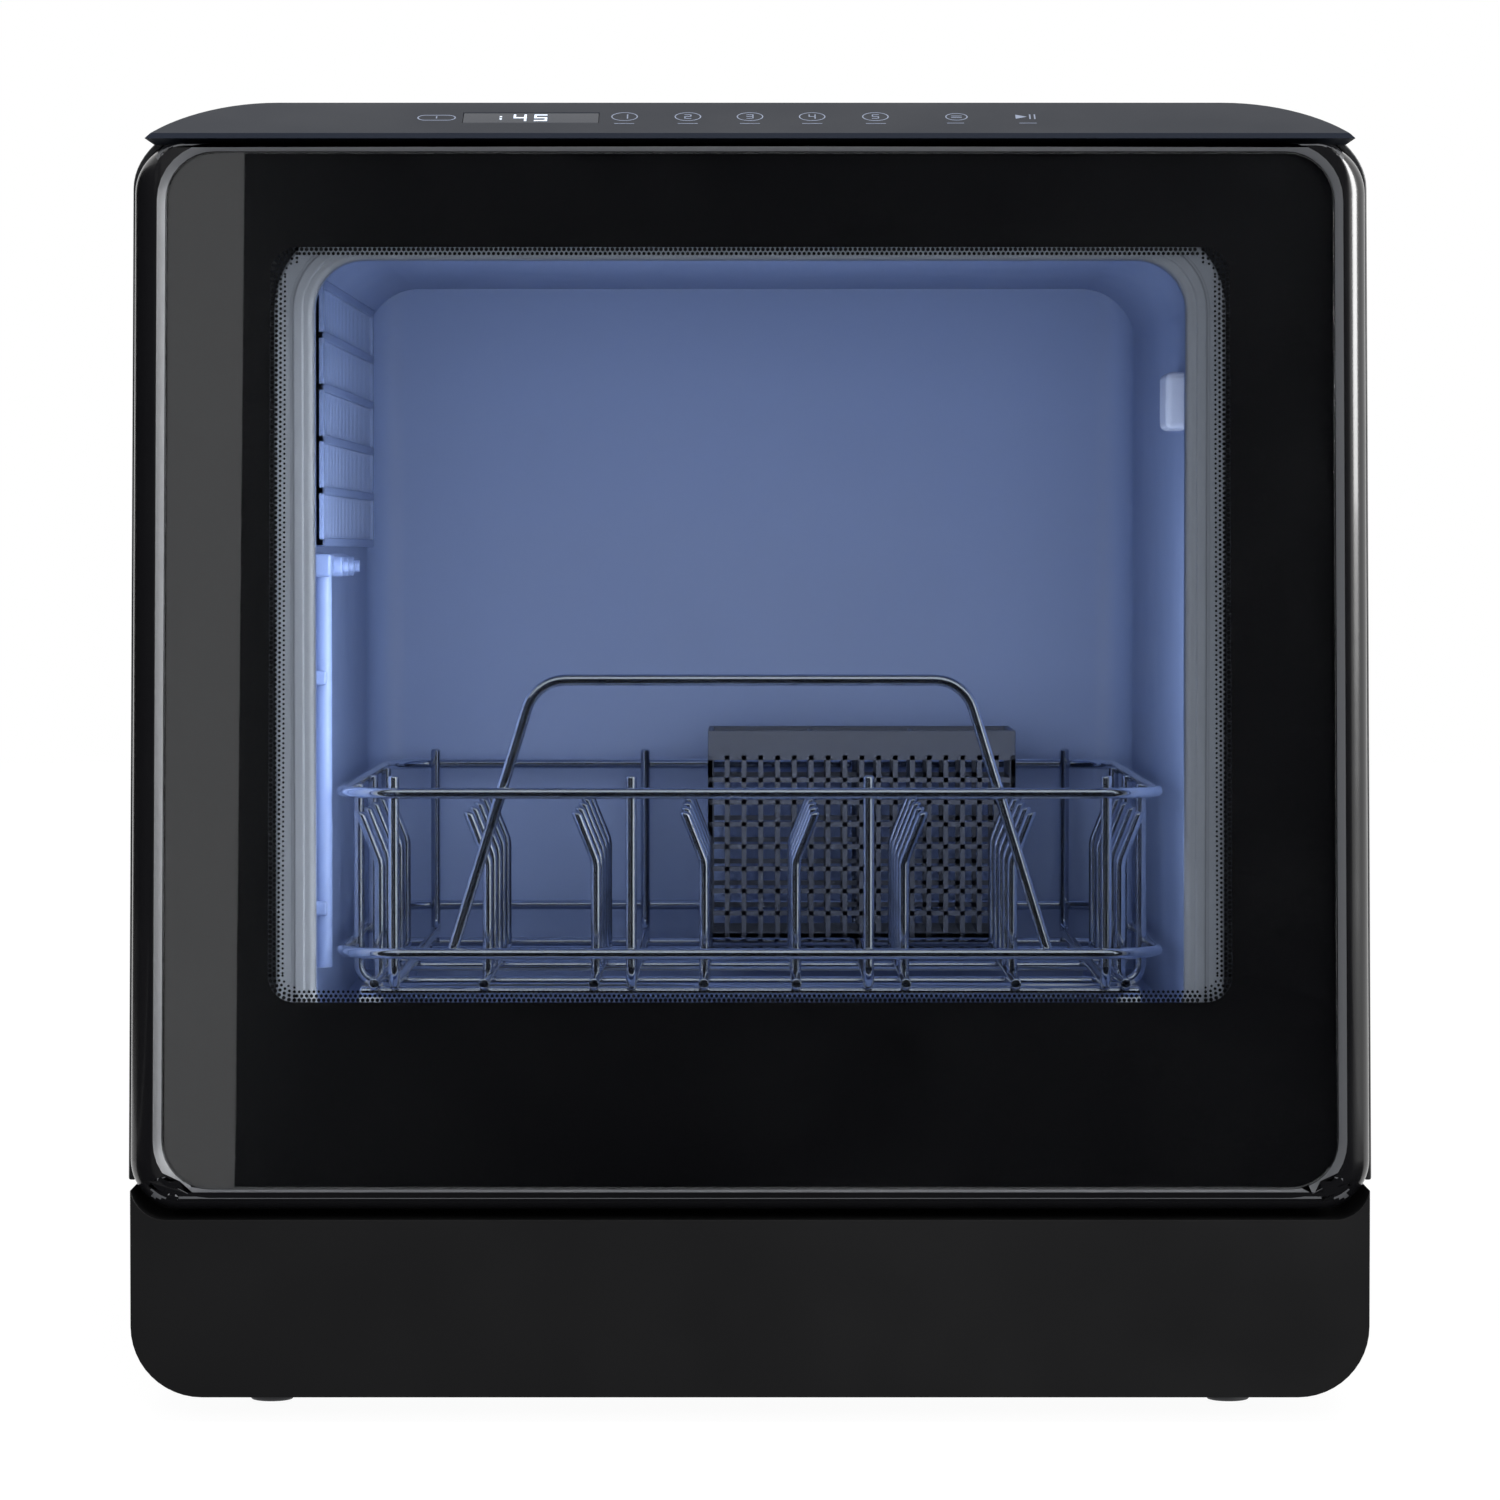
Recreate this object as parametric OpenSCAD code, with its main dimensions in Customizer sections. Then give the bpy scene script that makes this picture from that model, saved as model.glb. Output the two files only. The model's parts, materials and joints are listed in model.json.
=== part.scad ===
// Countertop dishwasher with a glass drop-down door, in millimetres.
// X runs to the right, Y to the rear and Z up. The feet stand on z = 0.

/* [Overall] */
// Width of the casing
casing_w = 426; // [422:1:440]
// Height from the surface to the top
total_h = 447; // [445:1:460]
// Depth from the door's face to the ends of the rear connectors
total_d = 430; // [428:1:450]
// How far the rear connectors stand out
connector_reach = 15; // [12:1:25]
// Diameter of a foot
foot_d = 15; // [10:1:20]
// Height of a foot
foot_h = 9; // [6:1:12]
// Distance of the feet from the middle plane
foot_x = 166; // [150:1:175]
// Distance of the feet from the front and rear faces
foot_inset = 60; // [50:1:70]

/* [Casing] */
// Thickness of the casing
casing_wall = 2.5; // [2:0.1:3]
// Half width of the rounded shoulder
shoulder_w = 50; // [40:1:60]
// Height of the rounded shoulder
shoulder_h = 29; // [24:1:34]
// Width of the flanges that turn inwards
casing_flange = 12; // [8:1:14]
// Thickness of the rear cover
rear_cover_t = 3; // [2:0.5:4]
// Thickness of the front fascia
fascia_t = 5; // [4:0.5:6]

/* [Base] */
// Height of the base shell
base_h = 70; // [68:1:76]
// Setback of the base from the casing's sides
base_inset = 4; // [3:0.5:7]
// Wall of the base shell
base_wall = 3; // [2:0.5:4]
// Radius of the lower side edges
base_r = 24; // [16:1:30]
// Depth of the recess under the door
recess_h = 10; // [9:1:12]
// Radius of the horns beside the recess
horn_r = 12; // [11:1:14]

/* [Door] */
// Setback of the door from the casing's sides
door_side_gap = 3.5; // [3:0.5:5.5]
// Thickness of the door
door_t = 33; // [32:1:36]
// Gap between the door and the recess floor
door_floor_gap = 3; // [2:0.5:5]
// Gap between the door and the control panel
door_top_gap = 1.3; // [1:0.1:3]
// Gap between the door and the casing
door_rear_gap = 1; // [0.9:0.1:3]
// Radius of the door's corners
door_r = 17; // [12:1:20]
// Radius of the door's rolled side edges
door_side_r = 8; // [5:0.5:10]
// Radius of the door's lower front edge
door_edge_r = 10; // [9:0.5:12]
// Radius of the door's lower rear edge, which is centred on the hinge
hinge_r = 21; // [20:0.5:23]
// Width of the finger scoop in the door's top edge
scoop_w = 126; // [90:1:160]
// Depth of the finger scoop
scoop_h = 1.5; // [1:0.1:3]
// Width of the frame that shows round the glass
bezel_w = 11.2; // [10:0.1:14]
// Thickness of the outer glass
glass_t = 3.5; // [3:0.5:5]
// Thickness of the dark border behind the glass
border_t = 0.3; // [0.2:0.1:0.5]
// Width of the dark border beside the clear window
window_side = 46.5; // [40:0.5:54]
// Height of the window's lower edge over the door's lower edge
window_rise = 70.4; // [68:0.2:80]
// Height of the dark border and the frame over the window
window_drop = 35.1; // [32:0.1:45]
// Thickness of the inner pane
pane_t = 3; // [2:0.5:4]
// Gap between the seal and the inner liner's opening
liner_seal_gap = 12; // [10:0.5:16]
// Hinge pin radius
hinge_pin_r = 3; // [2.5:0.1:4]
// Clearance of the hinge pin in its lug
pin_fit = 0.08; // [0.05:0.01:0.1]
// Width of a hinge lug
lug_w = 12; // [8:1:14]
// Distance of the lugs from the middle plane
lug_x = 160; // [150:1:170]
// Radius of a lug's round end
lug_r = 7; // [6:0.5:7]

/* [Control panel] */
// Height of the control panel's wedge
panel_rise = 14.2; // [13:0.2:18]
// Height of the wedge's blunt front edge
panel_lip = 1.8; // [1.4:0.1:2.5]
// Setback of the wedge's front edge from the door's face
panel_setback = 2; // [0:0.5:5]
// Flat strip between the slope and the casing
panel_flat = 1.5; // [1:0.5:4]
// Thickness of the control panel's wall
panel_wall = 2.2; // [1.5:0.1:2.6]
// Width of the display window
display_w = 46; // [30:1:70]
// Distance of the display window from the left end
display_x = 116; // [100:1:130]

/* [Tub] */
// Step between the tub's side and the door opening
mouth_side = 2.5; // [2:0.5:6]
// Height of the door's top over the door opening
mouth_drop = 38; // [37:0.5:45]
// Radius of the opening's corners
mouth_r = 17; // [10:1:20]
// Room between the tub and the casing's side
side_bay = 62; // [61:0.5:63]
// Room between the tub and the rear cover
rear_bay = 46.8; // [44:0.2:52]
// Height of the casing's top over the tub
tub_drop = 49; // [47:1:53]
// Height of the tub's floor over the base
tub_lift = 21; // [20:1:24]
// Height of the sill below the opening
sill_h = 28; // [26:1:30]
// Wall of the tub
tub_wall = 2.2; // [1.8:0.1:2.6]
// Radius of the tub's long edges
tub_r = 20; // [14:1:24]
// Radius of the tub's rear corners
tub_rear_r = 14; // [8:1:15]
// Width of the rubber seal
seal_w = 9.5; // [8:0.5:10]
// Width of a basket ledge
ledge_w = 20; // [18:1:21]
// Thickness of a basket ledge
ledge_t = 3; // [2:0.5:4]
// Height of the ledges over the tub's floor
ledge_rise = 29.7; // [28:0.1:31]

/* [Basket] */
// Radius of the basket wire
wire_r = 1.9; // [1.4:0.1:2.2]
// Gap between the tub's side and the middle of the basket's wire
basket_side_gap = 9; // [8.5:0.5:14]
// Gap between the tub's rear and the middle of the basket's wire
basket_rear_gap = 28; // [26:1:40]
// Gap between the basket's front and the door's inner face
basket_front_gap = 19; // [17:1:24]
// Height of the floor wires over the ledges
basket_floor_rise = 15.3; // [15:0.1:20]
// Height of the lower rail over the floor wires
low_rail_rise = 10.6; // [8:0.2:14]
// Height of the top rail over the floor wires
top_rail_rise = 66; // [60:1:80]
// Radius of the rails' corners
rail_r = 22; // [15:1:30]
// Height of the handle over the floor wires
handle_rise = 105; // [90:1:120]
// Half width of the handle at its top
handle_half_w = 74; // [60:1:90]
// Height of the tines over the floor wires
tine_h = 58; // [50:1:62]
// Distance between rows of tines
tine_pitch = 40; // [36:1:46]
// Rows of tines
tine_rows = 5; // [3:1:5]

/* [Cutlery basket] */
// Width of the cutlery basket
cutlery_w = 117; // [110:1:119]
// Depth of the cutlery basket
cutlery_d = 58; // [50:1:59]
// Height of the cutlery basket
cutlery_h = 79; // [70:1:90]
// Wall of the cutlery basket
cutlery_wall = 2; // [1.5:0.1:2.5]
// Left side of the cutlery basket
cutlery_x = -16; // [-20:1:-10]
// Gap between the cutlery basket and the basket's rear wire
cutlery_gap = 12; // [11:0.5:13]

/* [Spray and drain] */
// Distance of the spray arm's axis behind the middle
spray_y = -13; // [-20:1:-5]
// Reach of the spray arm
arm_reach = 128; // [110:1:130]
// Radius of the spray arm's pivot
arm_pin_r = 5; // [4:0.5:6]
// Running clearance of the turning parts
run_fit = 0.1; // [0.05:0.01:0.1]
// Left offset of the sump
sump_x = -70; // [-75:1:-66]
// Front offset of the sump
sump_y = -90; // [-95:1:-88]
// Radius of the sump
sump_r = 36; // [34:1:38]
// Depth of the sump below the tub's floor
sump_depth = 64; // [60:1:66]
// Radius of the filter cup
filter_r = 30; // [26:1:30]
// Radius of the pump's volute
pump_r = 30; // [28:1:31]
// Height of the pump's axis
pump_z = 46; // [44:1:48]
// Right offset of the pump's axis
pump_x = 21; // [19:1:23]
// Front of the pump's volute
pump_y = 1; // [0:1:3]
// Radius of a large hose
hose_r = 7; // [6:0.5:8]
// Radius of the drain spigot
spigot_r = 9; // [8:0.5:10]
// Radius of the inlet thread
inlet_r = 13.2; // [12:0.1:14]

/* [Drying and water] */
// Radius of the fan wheel
fan_r = 40; // [34:1:42]
// Height of the grille over the fan's axis
fan_drop = 96; // [90:1:104]
// Distance of the fan's axis behind the middle
fan_y = 40; // [30:1:50]
// Gap between the air grille and the tub's rear
grille_rear_gap = 16; // [15:1:40]
// Gap between the fascia and the air grille
grille_inset = 33; // [30:1:40]
// Height of the air grille
grille_h = 93; // [80:1:100]
// Gap between the air grille and the tub's top
grille_drop = 9; // [8:1:14]
// Gap between the water tank and the rear cover
tank_rear_gap = 17; // [10:1:40]
// Width of the water tank
tank_w = 52; // [46:1:54]
// Height of the casing's top over the water tank
tank_drop = 51; // [48:1:80]
// Wall of the water tank
tank_wall = 2; // [1.6:0.1:2.4]
// Width of the fill lid
lid_w = 70; // [60:1:72]
// Depth of the fill lid
lid_d = 78; // [70:1:84]

/* [Hidden] */
$fn = 48;

eps = 0.01;
cut = 1;
seat_gap = 0.3;
shoulder_steps = 12;

// Main planes
front_y = -total_d / 2;
rear_y = total_d / 2 - connector_reach;
base_top = foot_h + base_h;
recess_z = base_top - recess_h;
door_z0 = recess_z + door_floor_gap;
panel_z0 = total_h - panel_rise;
door_z1 = panel_z0 - door_top_gap;
door_rear_y = front_y + door_t;
rim_y = door_rear_y + door_rear_gap;
fascia_rear_y = rim_y + fascia_t;
cover_y = rear_y - rear_cover_t;
base_w = casing_w - 2 * base_inset;
door_w = casing_w - 2 * door_side_gap;
hinge_y = door_rear_y - hinge_r;
hinge_z = door_z0 + hinge_r;

// Tub planes
tub_floor = base_top + tub_lift;
tub_top = total_h - tub_drop;
tub_rear = cover_y - rear_bay;
tub_w = casing_w - 2 * side_bay;
mouth_w = tub_w - 2 * mouth_side;
mouth_z0 = tub_floor + sill_h;
mouth_z1 = door_z1 - mouth_drop;
tub_under = tub_floor - tub_wall;
tub_out_x = tub_w / 2 + tub_wall;
tub_lap = 16;
ledge_top = tub_floor + ledge_rise;

// Basket planes
basket_y0 = door_rear_y + basket_front_gap;
basket_y1 = tub_rear - tub_wall - basket_rear_gap;
basket_half_w = tub_w / 2 - basket_side_gap;
floor_z = ledge_top + basket_floor_rise;
low_z = floor_z + low_rail_rise;
top_z = floor_z + top_rail_rise;
handle_z = floor_z + handle_rise;
post_out = basket_half_w - 19;
post_x = [-post_out, -post_out / 3, post_out / 3, post_out];
tine_in = 16;
tine_step = (basket_half_w - 12 - tine_in) / 3;
tine_x = [for (s = [-1, 1], i = [0 : 3]) s * (tine_in + i * tine_step)];
tine_y0 = basket_y0 + 38;

// Glass and liner
glass_half = door_w / 2 - bezel_w;
glass_z0 = door_z0 + 7.6;
glass_z1 = door_z1 - 3.5;
glass_gap = 0.3;
glass_r = 16;
glass_sink = 0.4;
border_y = front_y + glass_sink + glass_t;
pocket_y = border_y + border_t;
window_w = door_w - 2 * window_side;
window_z0 = door_z0 + window_rise;
window_z1 = door_z1 - window_drop;
liner_t = 6;
liner_y = door_rear_y - liner_t;
liner_half = glass_half - glass_gap;
liner_z0 = hinge_z + lug_r + 3;
liner_z1 = door_z1 - 5;
liner_open_w = mouth_w + 2 * (seal_w + liner_seal_gap);
liner_open_z0 = liner_z0 + 9;
liner_open_z1 = mouth_z1 + seal_w + 2;
pane_lap = 6;
door_wall = 17.5;

// Hinge
notch_gap = 0.6;
pin_x0 = lug_x - 6;
pin_l = lug_w + 12;
bracket_z1 = hinge_z + lug_r;

// Latch
striker_z = liner_open_z1 + 9;
striker_w = 16;
striker_t = 4;
striker_reach = 10;
latch_x = 16;
pawl_y = fascia_rear_y + 26;
pawl_z = striker_z + 15;
pawl_r = 4;

// Fan and duct
grille_z1 = tub_top - grille_drop;
grille_z0 = grille_z1 - grille_h;
grille_y0 = fascia_rear_y + grille_inset;
grille_y1 = tub_rear - tub_wall - grille_rear_gap;
grille_l = grille_y1 - grille_y0;
grille_proud = 3;
fan_z = grille_z0 - fan_drop;
fan_case_r = fan_r + 12;
fan_x0 = -casing_w / 2 + casing_wall + 12.5;
fan_w = 32;
chute_w = 40;
duct_wall = 2;
duct_x0 = fan_x0;

// Water
tank_x0 = tub_out_x + 1.8;
tank_y0 = fascia_rear_y + 26;
tank_z0 = base_top + 5;
tank_y1 = cover_y - tank_rear_gap;
tank_z1 = total_h - tank_drop;
tank_feed_y = sump_y;
tank_feed_x = tank_x0 + tank_w / 2;
tank_feed_z = 70;
tank_hose_r = 6;
lid_t = 2.5;
lid_x0 = casing_w / 2 - shoulder_w - lid_w - 11;
lid_y1 = cover_y - 47;
lid_gap = 0.5;
lid_hinge_r = 1.8;
lid_pin_r = 1.2;
notch_r = 8;
funnel_wall = 2;
hopper_h = 36;

// Pumps and hoses
hub_r = 10;
hub_port_z = pump_z + pump_r + 9;
outlet_x = pump_x - 21;
pump_w = 30;
volute_wall = 4;
elbow_r = 11;
drain_z = 40;
drain_r = 20;
drain_hose_x = sump_x - sump_r - 18;
drain_hose_z = drain_z + 12;
inlet_x = tank_feed_x;
inlet_z = 50;
inlet_y = rear_y - 35;

// Flat outlines
module rounded(x0, z0, x1, z1, r) {
    translate([x0 + r, z0]) square([x1 - x0 - 2 * r, z1 - z0]);
    translate([x0, z0 + r]) square([x1 - x0, z1 - z0 - 2 * r]);
    for (x = [x0 + r, x1 - r], z = [z0 + r, z1 - r]) translate([x, z]) circle(r);
}

module round_low(x0, z0, x1, z1, r) {
    translate([x0 + r, z0]) square([x1 - x0 - 2 * r, z1 - z0]);
    translate([x0, z0 + r]) square([x1 - x0, z1 - z0 - r]);
    for (x = [x0 + r, x1 - r]) translate([x, z0 + r]) circle(r);
}

function shoulder_points(inset) = let (
    a = shoulder_w - inset,
    b = shoulder_h - inset,
    x = casing_w / 2 - shoulder_w,
    z = total_h - shoulder_h
) [for (i = [0 : shoulder_steps]) let (t = 90 * i / shoulder_steps) [x + a * cos(t), z + b * sin(t)]];

module casing_outline(inset, z0) {
    right = shoulder_points(inset);
    left = [for (i = [shoulder_steps : -1 : 0]) [-right[i][0], right[i][1]]];
    polygon(concat([[casing_w / 2 - inset, z0]], right, left, [[-casing_w / 2 + inset, z0]]));
}

// Solids drawn from an outline: across X and Z, along Y; or across Y and Z, along X
module along_y(y0, y1) {
    translate([0, y1, 0]) rotate([90, 0, 0]) linear_extrude(y1 - y0) children();
}

module along_x(x0, x1) {
    translate([x0, 0, 0]) rotate([90, 0, 90]) linear_extrude(x1 - x0) children();
}

module block(x0, y0, z0, x1, y1, z1) {
    translate([x0, y0, z0]) cube([x1 - x0, y1 - y0, z1 - z0]);
}

module rod_x(r, x0, x1, y, z) {
    translate([x0, y, z]) rotate([0, 90, 0]) cylinder(r = r, h = x1 - x0);
}

module rod_y(r, x, y0, y1, z) {
    translate([x, y0, z]) rotate([-90, 0, 0]) cylinder(r = r, h = y1 - y0);
}

module rod_z(r, x, y, z0, z1) {
    translate([x, y, z0]) cylinder(r = r, h = z1 - z0);
}

module mirror_x() {
    children();
    mirror([1, 0, 0]) children();
}

// Casing
module casing() {
    color("#2b2c30") difference() {
        union() {
            difference() {
                along_y(rim_y, cover_y) casing_outline(0, base_top);
                along_y(rim_y - cut, cover_y - casing_wall) casing_outline(casing_wall, base_top - cut);
                along_y(cover_y - 2 * casing_wall, cover_y + cut)
                    casing_outline(casing_flange, base_top - cut);
            }
            mirror_x() block(casing_w / 2 - casing_flange, fascia_rear_y + seat_gap, base_top,
                casing_w / 2 - casing_wall / 2, cover_y - casing_wall / 2, base_top + casing_wall);
        }
        lid_opening();
        for (p = cover_screws()) rod_y(screw_r, p[0], cover_y - 2 * casing_wall, cover_y + cut, p[1]);
    }
}

screw_r = 1.5;
screw_head_r = 3.2;
screw_head_t = 1.8;
screw_l = 9;

function cover_screws() = let (
    x = casing_w / 2 - casing_flange / 2 - casing_wall / 2,
    z0 = base_top + 20,
    z1 = total_h - shoulder_h - 59
)
    [for (s = [-1, 1], z = [z0, (z0 + z1) / 2, z1]) [s * x, z]];

module rear_cover() {
    vent_w = 60;
    vent_n = 12;
    vent_pitch = 7;
    vent_h = 3;
    vent_x = -casing_w / 2 + 23;
    vent_z = fan_z - 40;
    upright_x = -30;
    upright_z = tub_top + 8;
    upright_l = 16;
    color("#222327") difference() {
        along_y(cover_y, rear_y) casing_outline(0, base_top);
        for (i = [0 : vent_n - 1]) block(vent_x, cover_y - cut, vent_z + i * vent_pitch, vent_x + vent_w,
            rear_y + cut, vent_z + i * vent_pitch + vent_h);
        for (i = [0 : vent_n - 1]) block(upright_x + i * vent_pitch, cover_y - cut, upright_z,
            upright_x + i * vent_pitch + vent_h, rear_y + cut, upright_z + upright_l);
        for (p = cover_screws()) rod_y(screw_r, p[0], cover_y - cut, rear_y + cut, p[1]);
    }
}

module rear_screws() {
    arm = 2.4;
    half = 0.4;
    y0 = rear_y + screw_head_t / 2;
    y1 = rear_y + screw_head_t + cut;
    color("#8b8d92") for (p = cover_screws()) {
        difference() {
            union() {
                rod_y(screw_head_r, p[0], rear_y, rear_y + screw_head_t, p[1]);
                rod_y(screw_r, p[0], rear_y - screw_l, rear_y + eps, p[1]);
            }
            block(p[0] - arm, y0, p[1] - half, p[0] + arm, y1, p[1] + half);
            block(p[0] - half, y0, p[1] - arm, p[0] + half, y1, p[1] + arm);
        }
    }
}

// Base
module recess_outline() {
    half = base_w / 2;
    translate([-half + horn_r, recess_z]) square([base_w - 2 * horn_r, recess_h + cut]);
    translate([-half, recess_z + horn_r]) square([base_w, horn_r]);
    for (s = [-1, 1]) translate([s * (half - horn_r), recess_z + horn_r]) circle(horn_r);
}

module base_shell() {
    half = base_w / 2;
    inner_r = base_r - base_wall;
    color("#1d1d1f") difference() {
        along_y(front_y, rear_y) round_low(-half, foot_h, half, base_top, base_r);
        along_y(fascia_rear_y, rear_y - base_wall)
            round_low(-half + base_wall, foot_h + base_wall, half - base_wall, base_top + cut, inner_r);
        along_y(front_y + base_wall, fascia_rear_y + eps)
            round_low(-half + base_wall, foot_h + base_wall, half - base_wall,
                recess_z - base_wall, inner_r);
        along_y(front_y - cut, rim_y) recess_outline();
        for (x = [-foot_x, foot_x], y = [front_y + foot_inset, rear_y - foot_inset])
            rod_z(foot_stem_r, x, y, foot_h - cut, foot_h + base_wall + cut);
        rod_y(spigot_r + seat_gap, drain_hose_x, rear_y - base_wall - cut, rear_y + cut, drain_hose_z);
        rod_y(inlet_r + seat_gap, inlet_x, rear_y - base_wall - cut, rear_y + cut, inlet_z);
        rod_y(gland_r + seat_gap, gland_x, rear_y - base_wall - cut, rear_y + cut, gland_z);
    }
}

foot_stem_r = 3;
module feet() {
    color("#17181a") for (x = [-foot_x, foot_x], y = [front_y + foot_inset, rear_y - foot_inset]) {
        rod_z(foot_d / 2, x, y, 1, foot_h);
        rod_z(foot_d / 2 - 1, x, y, 0, 1 + eps);
        rod_z(foot_stem_r, x, y, foot_h - eps, foot_h + base_wall + 1);
    }
}

// Front plate round the tub's mouth
module front_fascia() {
    half = mouth_w / 2 + seal_w;
    slot = striker_w / 2 + 3;
    color("#26272b") difference() {
        along_y(rim_y, fascia_rear_y) casing_outline(casing_wall + seat_gap, base_top);
        along_y(rim_y - cut, fascia_rear_y + cut)
            rounded(-half, mouth_z0 - seal_w, half, mouth_z1 + seal_w, mouth_r + seal_w);
        block(-slot, rim_y - cut, striker_z - 4, slot, fascia_rear_y + cut, striker_z + striker_t + 4);
        for (s = [-1, 1]) block(s * (lug_x + lug_w / 2) - lug_w / 2 - seat_gap, rim_y - cut, base_top - cut,
            s * (lug_x + lug_w / 2) + lug_w / 2 + seat_gap, fascia_rear_y + cut, bracket_z1 + seat_gap);
    }
}

// Control panel: a sloping wedge over the door
function panel_section(t) = let (
    y0 = front_y + panel_setback,
    z0 = panel_z0 + t,
    y1 = rim_y - panel_flat
) [[y0 + t * 2.5, z0], [rim_y - t, z0], [rim_y - t, total_h - t], [y1, total_h - t],
    [y0 + t * 2.5, panel_z0 + panel_lip + (t > 0 ? eps : 0)]];

panel_slope = atan2(panel_rise - panel_lip, door_t + door_rear_gap - panel_setback - panel_flat);
panel_mid_y = (front_y + panel_setback + rim_y - panel_flat) / 2;
panel_mid_z = panel_z0 + (panel_rise + panel_lip) / 2;
display_x0 = -casing_w / 2 + display_x;
display_d = 11;
display_t = 1;

// A box laid in the panel's slope: u runs up the slope from its middle line, v out of it
module on_slope(x0, u0, v0, x1, u1, v1) {
    translate([0, panel_mid_y, panel_mid_z]) rotate([panel_slope, 0, 0])
        translate([x0, u0, v0]) cube([x1 - x0, u1 - u0, v1 - v0]);
}

module control_panel() {
    color("#3a3d47") difference() {
        intersection() {
            along_x(-casing_w / 2, casing_w / 2) polygon(panel_section(0));
            along_y(front_y, rim_y) casing_outline(0, base_top);
        }
        on_slope(display_x0, -display_d / 2, -display_t, display_x0 + display_w, display_d / 2, cut);
        board_room();
    }
}

board_room_x = 150;
module board_room() {
    y1 = rim_y - panel_wall;
    z0 = panel_z0 + panel_wall;
    along_x(-board_room_x, board_room_x)
        polygon([[rim_y - 19, z0], [y1, z0], [y1, total_h - panel_wall - 1.2]]);
}

module display_window() {
    gap = 0.1;
    color("#15161a") on_slope(display_x0 + gap, -display_d / 2 + gap, -display_t,
        display_x0 + display_w - gap, display_d / 2 - gap, 0);
}

module control_board() {
    half = board_room_x - 10;
    z0 = panel_z0 + panel_wall;
    z1 = z0 + 1.6;
    chip_w = 12;
    chip_h = 2.6;
    color("#2f5d3a") {
        block(-half, rim_y - 12, z0, half, rim_y - panel_wall, z1);
        for (x = [-104, -60, -20, 20, 60, 100])
            block(x, rim_y - 8, z1 - eps, x + chip_w, rim_y - 4, z1 + chip_h);
    }
}

// Water filling
module lid_opening() {
    block(lid_x0, lid_y1 - lid_d, total_h - 2 * casing_wall, lid_x0 + lid_w, lid_y1, total_h + cut);
}

lid_axis_y = lid_y1 - funnel_wall - lid_gap - lid_hinge_r;
lid_axis_z = total_h - lid_hinge_r;

module fill_lid() {
    x0 = lid_x0 + funnel_wall + lid_gap;
    x1 = lid_x0 + lid_w - funnel_wall - lid_gap;
    y0 = lid_y1 - lid_d + funnel_wall + lid_gap;
    color("#2b2c30") {
        difference() {
            block(x0, y0, total_h - lid_t, x1, lid_axis_y, total_h);
            rod_z(notch_r, (x0 + x1) / 2, y0 - 2, total_h - lid_t - cut, total_h + cut);
        }
        rod_x(lid_hinge_r, x0, x1, lid_axis_y, lid_axis_z);
        rod_x(lid_pin_r, x0 - funnel_wall, x1 + funnel_wall, lid_axis_y, lid_axis_z);
    }
}

module fill_funnel() {
    x0 = lid_x0;
    x1 = lid_x0 + lid_w;
    y0 = lid_y1 - lid_d;
    z0 = total_h - casing_wall - hopper_h;
    neck_z = z0 + 14;
    color("#3c4048") difference() {
        union() {
            block(x0 + seat_gap, y0 + seat_gap, z0, x1 - seat_gap, lid_y1 - seat_gap, total_h);
            rod_x(11, x1 - cut, tank_feed_x, lid_y1 - lid_d / 2, neck_z);
            rod_z(11, tank_feed_x, lid_y1 - lid_d / 2, tank_z1, neck_z + 11);
            funnel_flange(x0, y0, x1);
        }
        block(x0 + funnel_wall, y0 + funnel_wall, z0 + funnel_wall, x1 - funnel_wall, lid_y1 - funnel_wall,
            total_h + cut);
        rod_x(9, x1 - funnel_wall - cut, tank_feed_x, lid_y1 - lid_d / 2, neck_z);
        rod_z(9, tank_feed_x, lid_y1 - lid_d / 2, tank_z1 - cut, neck_z + 9);
        rod_x(lid_pin_r + run_fit, x0 - cut, x1 + cut, lid_axis_y, lid_axis_z);
    }
}

module funnel_flange(x0, y0, x1) {
    block(x0 - 5, y0 - 5, total_h - casing_wall - 2.2, x1 + 5, lid_y1 + 5, total_h - casing_wall - 0.2);
}

module water_tank() {
    x0 = tank_x0;
    x1 = tank_x0 + tank_w;
    y1 = tank_y1;
    z1 = tank_z1;
    color("#cfd6dc") difference() {
        along_y(tank_y0, y1) rounded(x0, tank_z0, x1, z1, 10);
        along_y(tank_y0 + tank_wall, y1 - tank_wall)
            rounded(x0 + tank_wall, tank_z0 + tank_wall, x1 - tank_wall, z1 - tank_wall, 8);
        rod_z(9, tank_feed_x, lid_y1 - lid_d / 2, z1 - tank_wall - cut, z1 + cut);
        rod_z(5, tank_feed_x, tank_feed_y, tank_z0 - cut, tank_z0 + tank_wall + cut);
        rod_z(5, tank_feed_x, inlet_y, tank_z0 - cut, tank_z0 + tank_wall + cut);
    }
}

module tank_hose() {
    r = tank_hose_r;
    bend = 10;
    x1 = tank_feed_x - bend;
    x0 = sump_x + sump_r - 3;
    color("#4a4d52") {
        rod_x(r, x0, x1, tank_feed_y, tank_feed_z);
        translate([x1, tank_feed_y, tank_feed_z + bend]) rotate([90, 0, 0])
            rotate([0, 0, -90]) rotate_extrude(angle = 90) translate([bend, 0]) circle(r);
        rod_z(r, tank_feed_x, tank_feed_y, tank_feed_z + bend - eps, tank_z0);
    }
}

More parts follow.
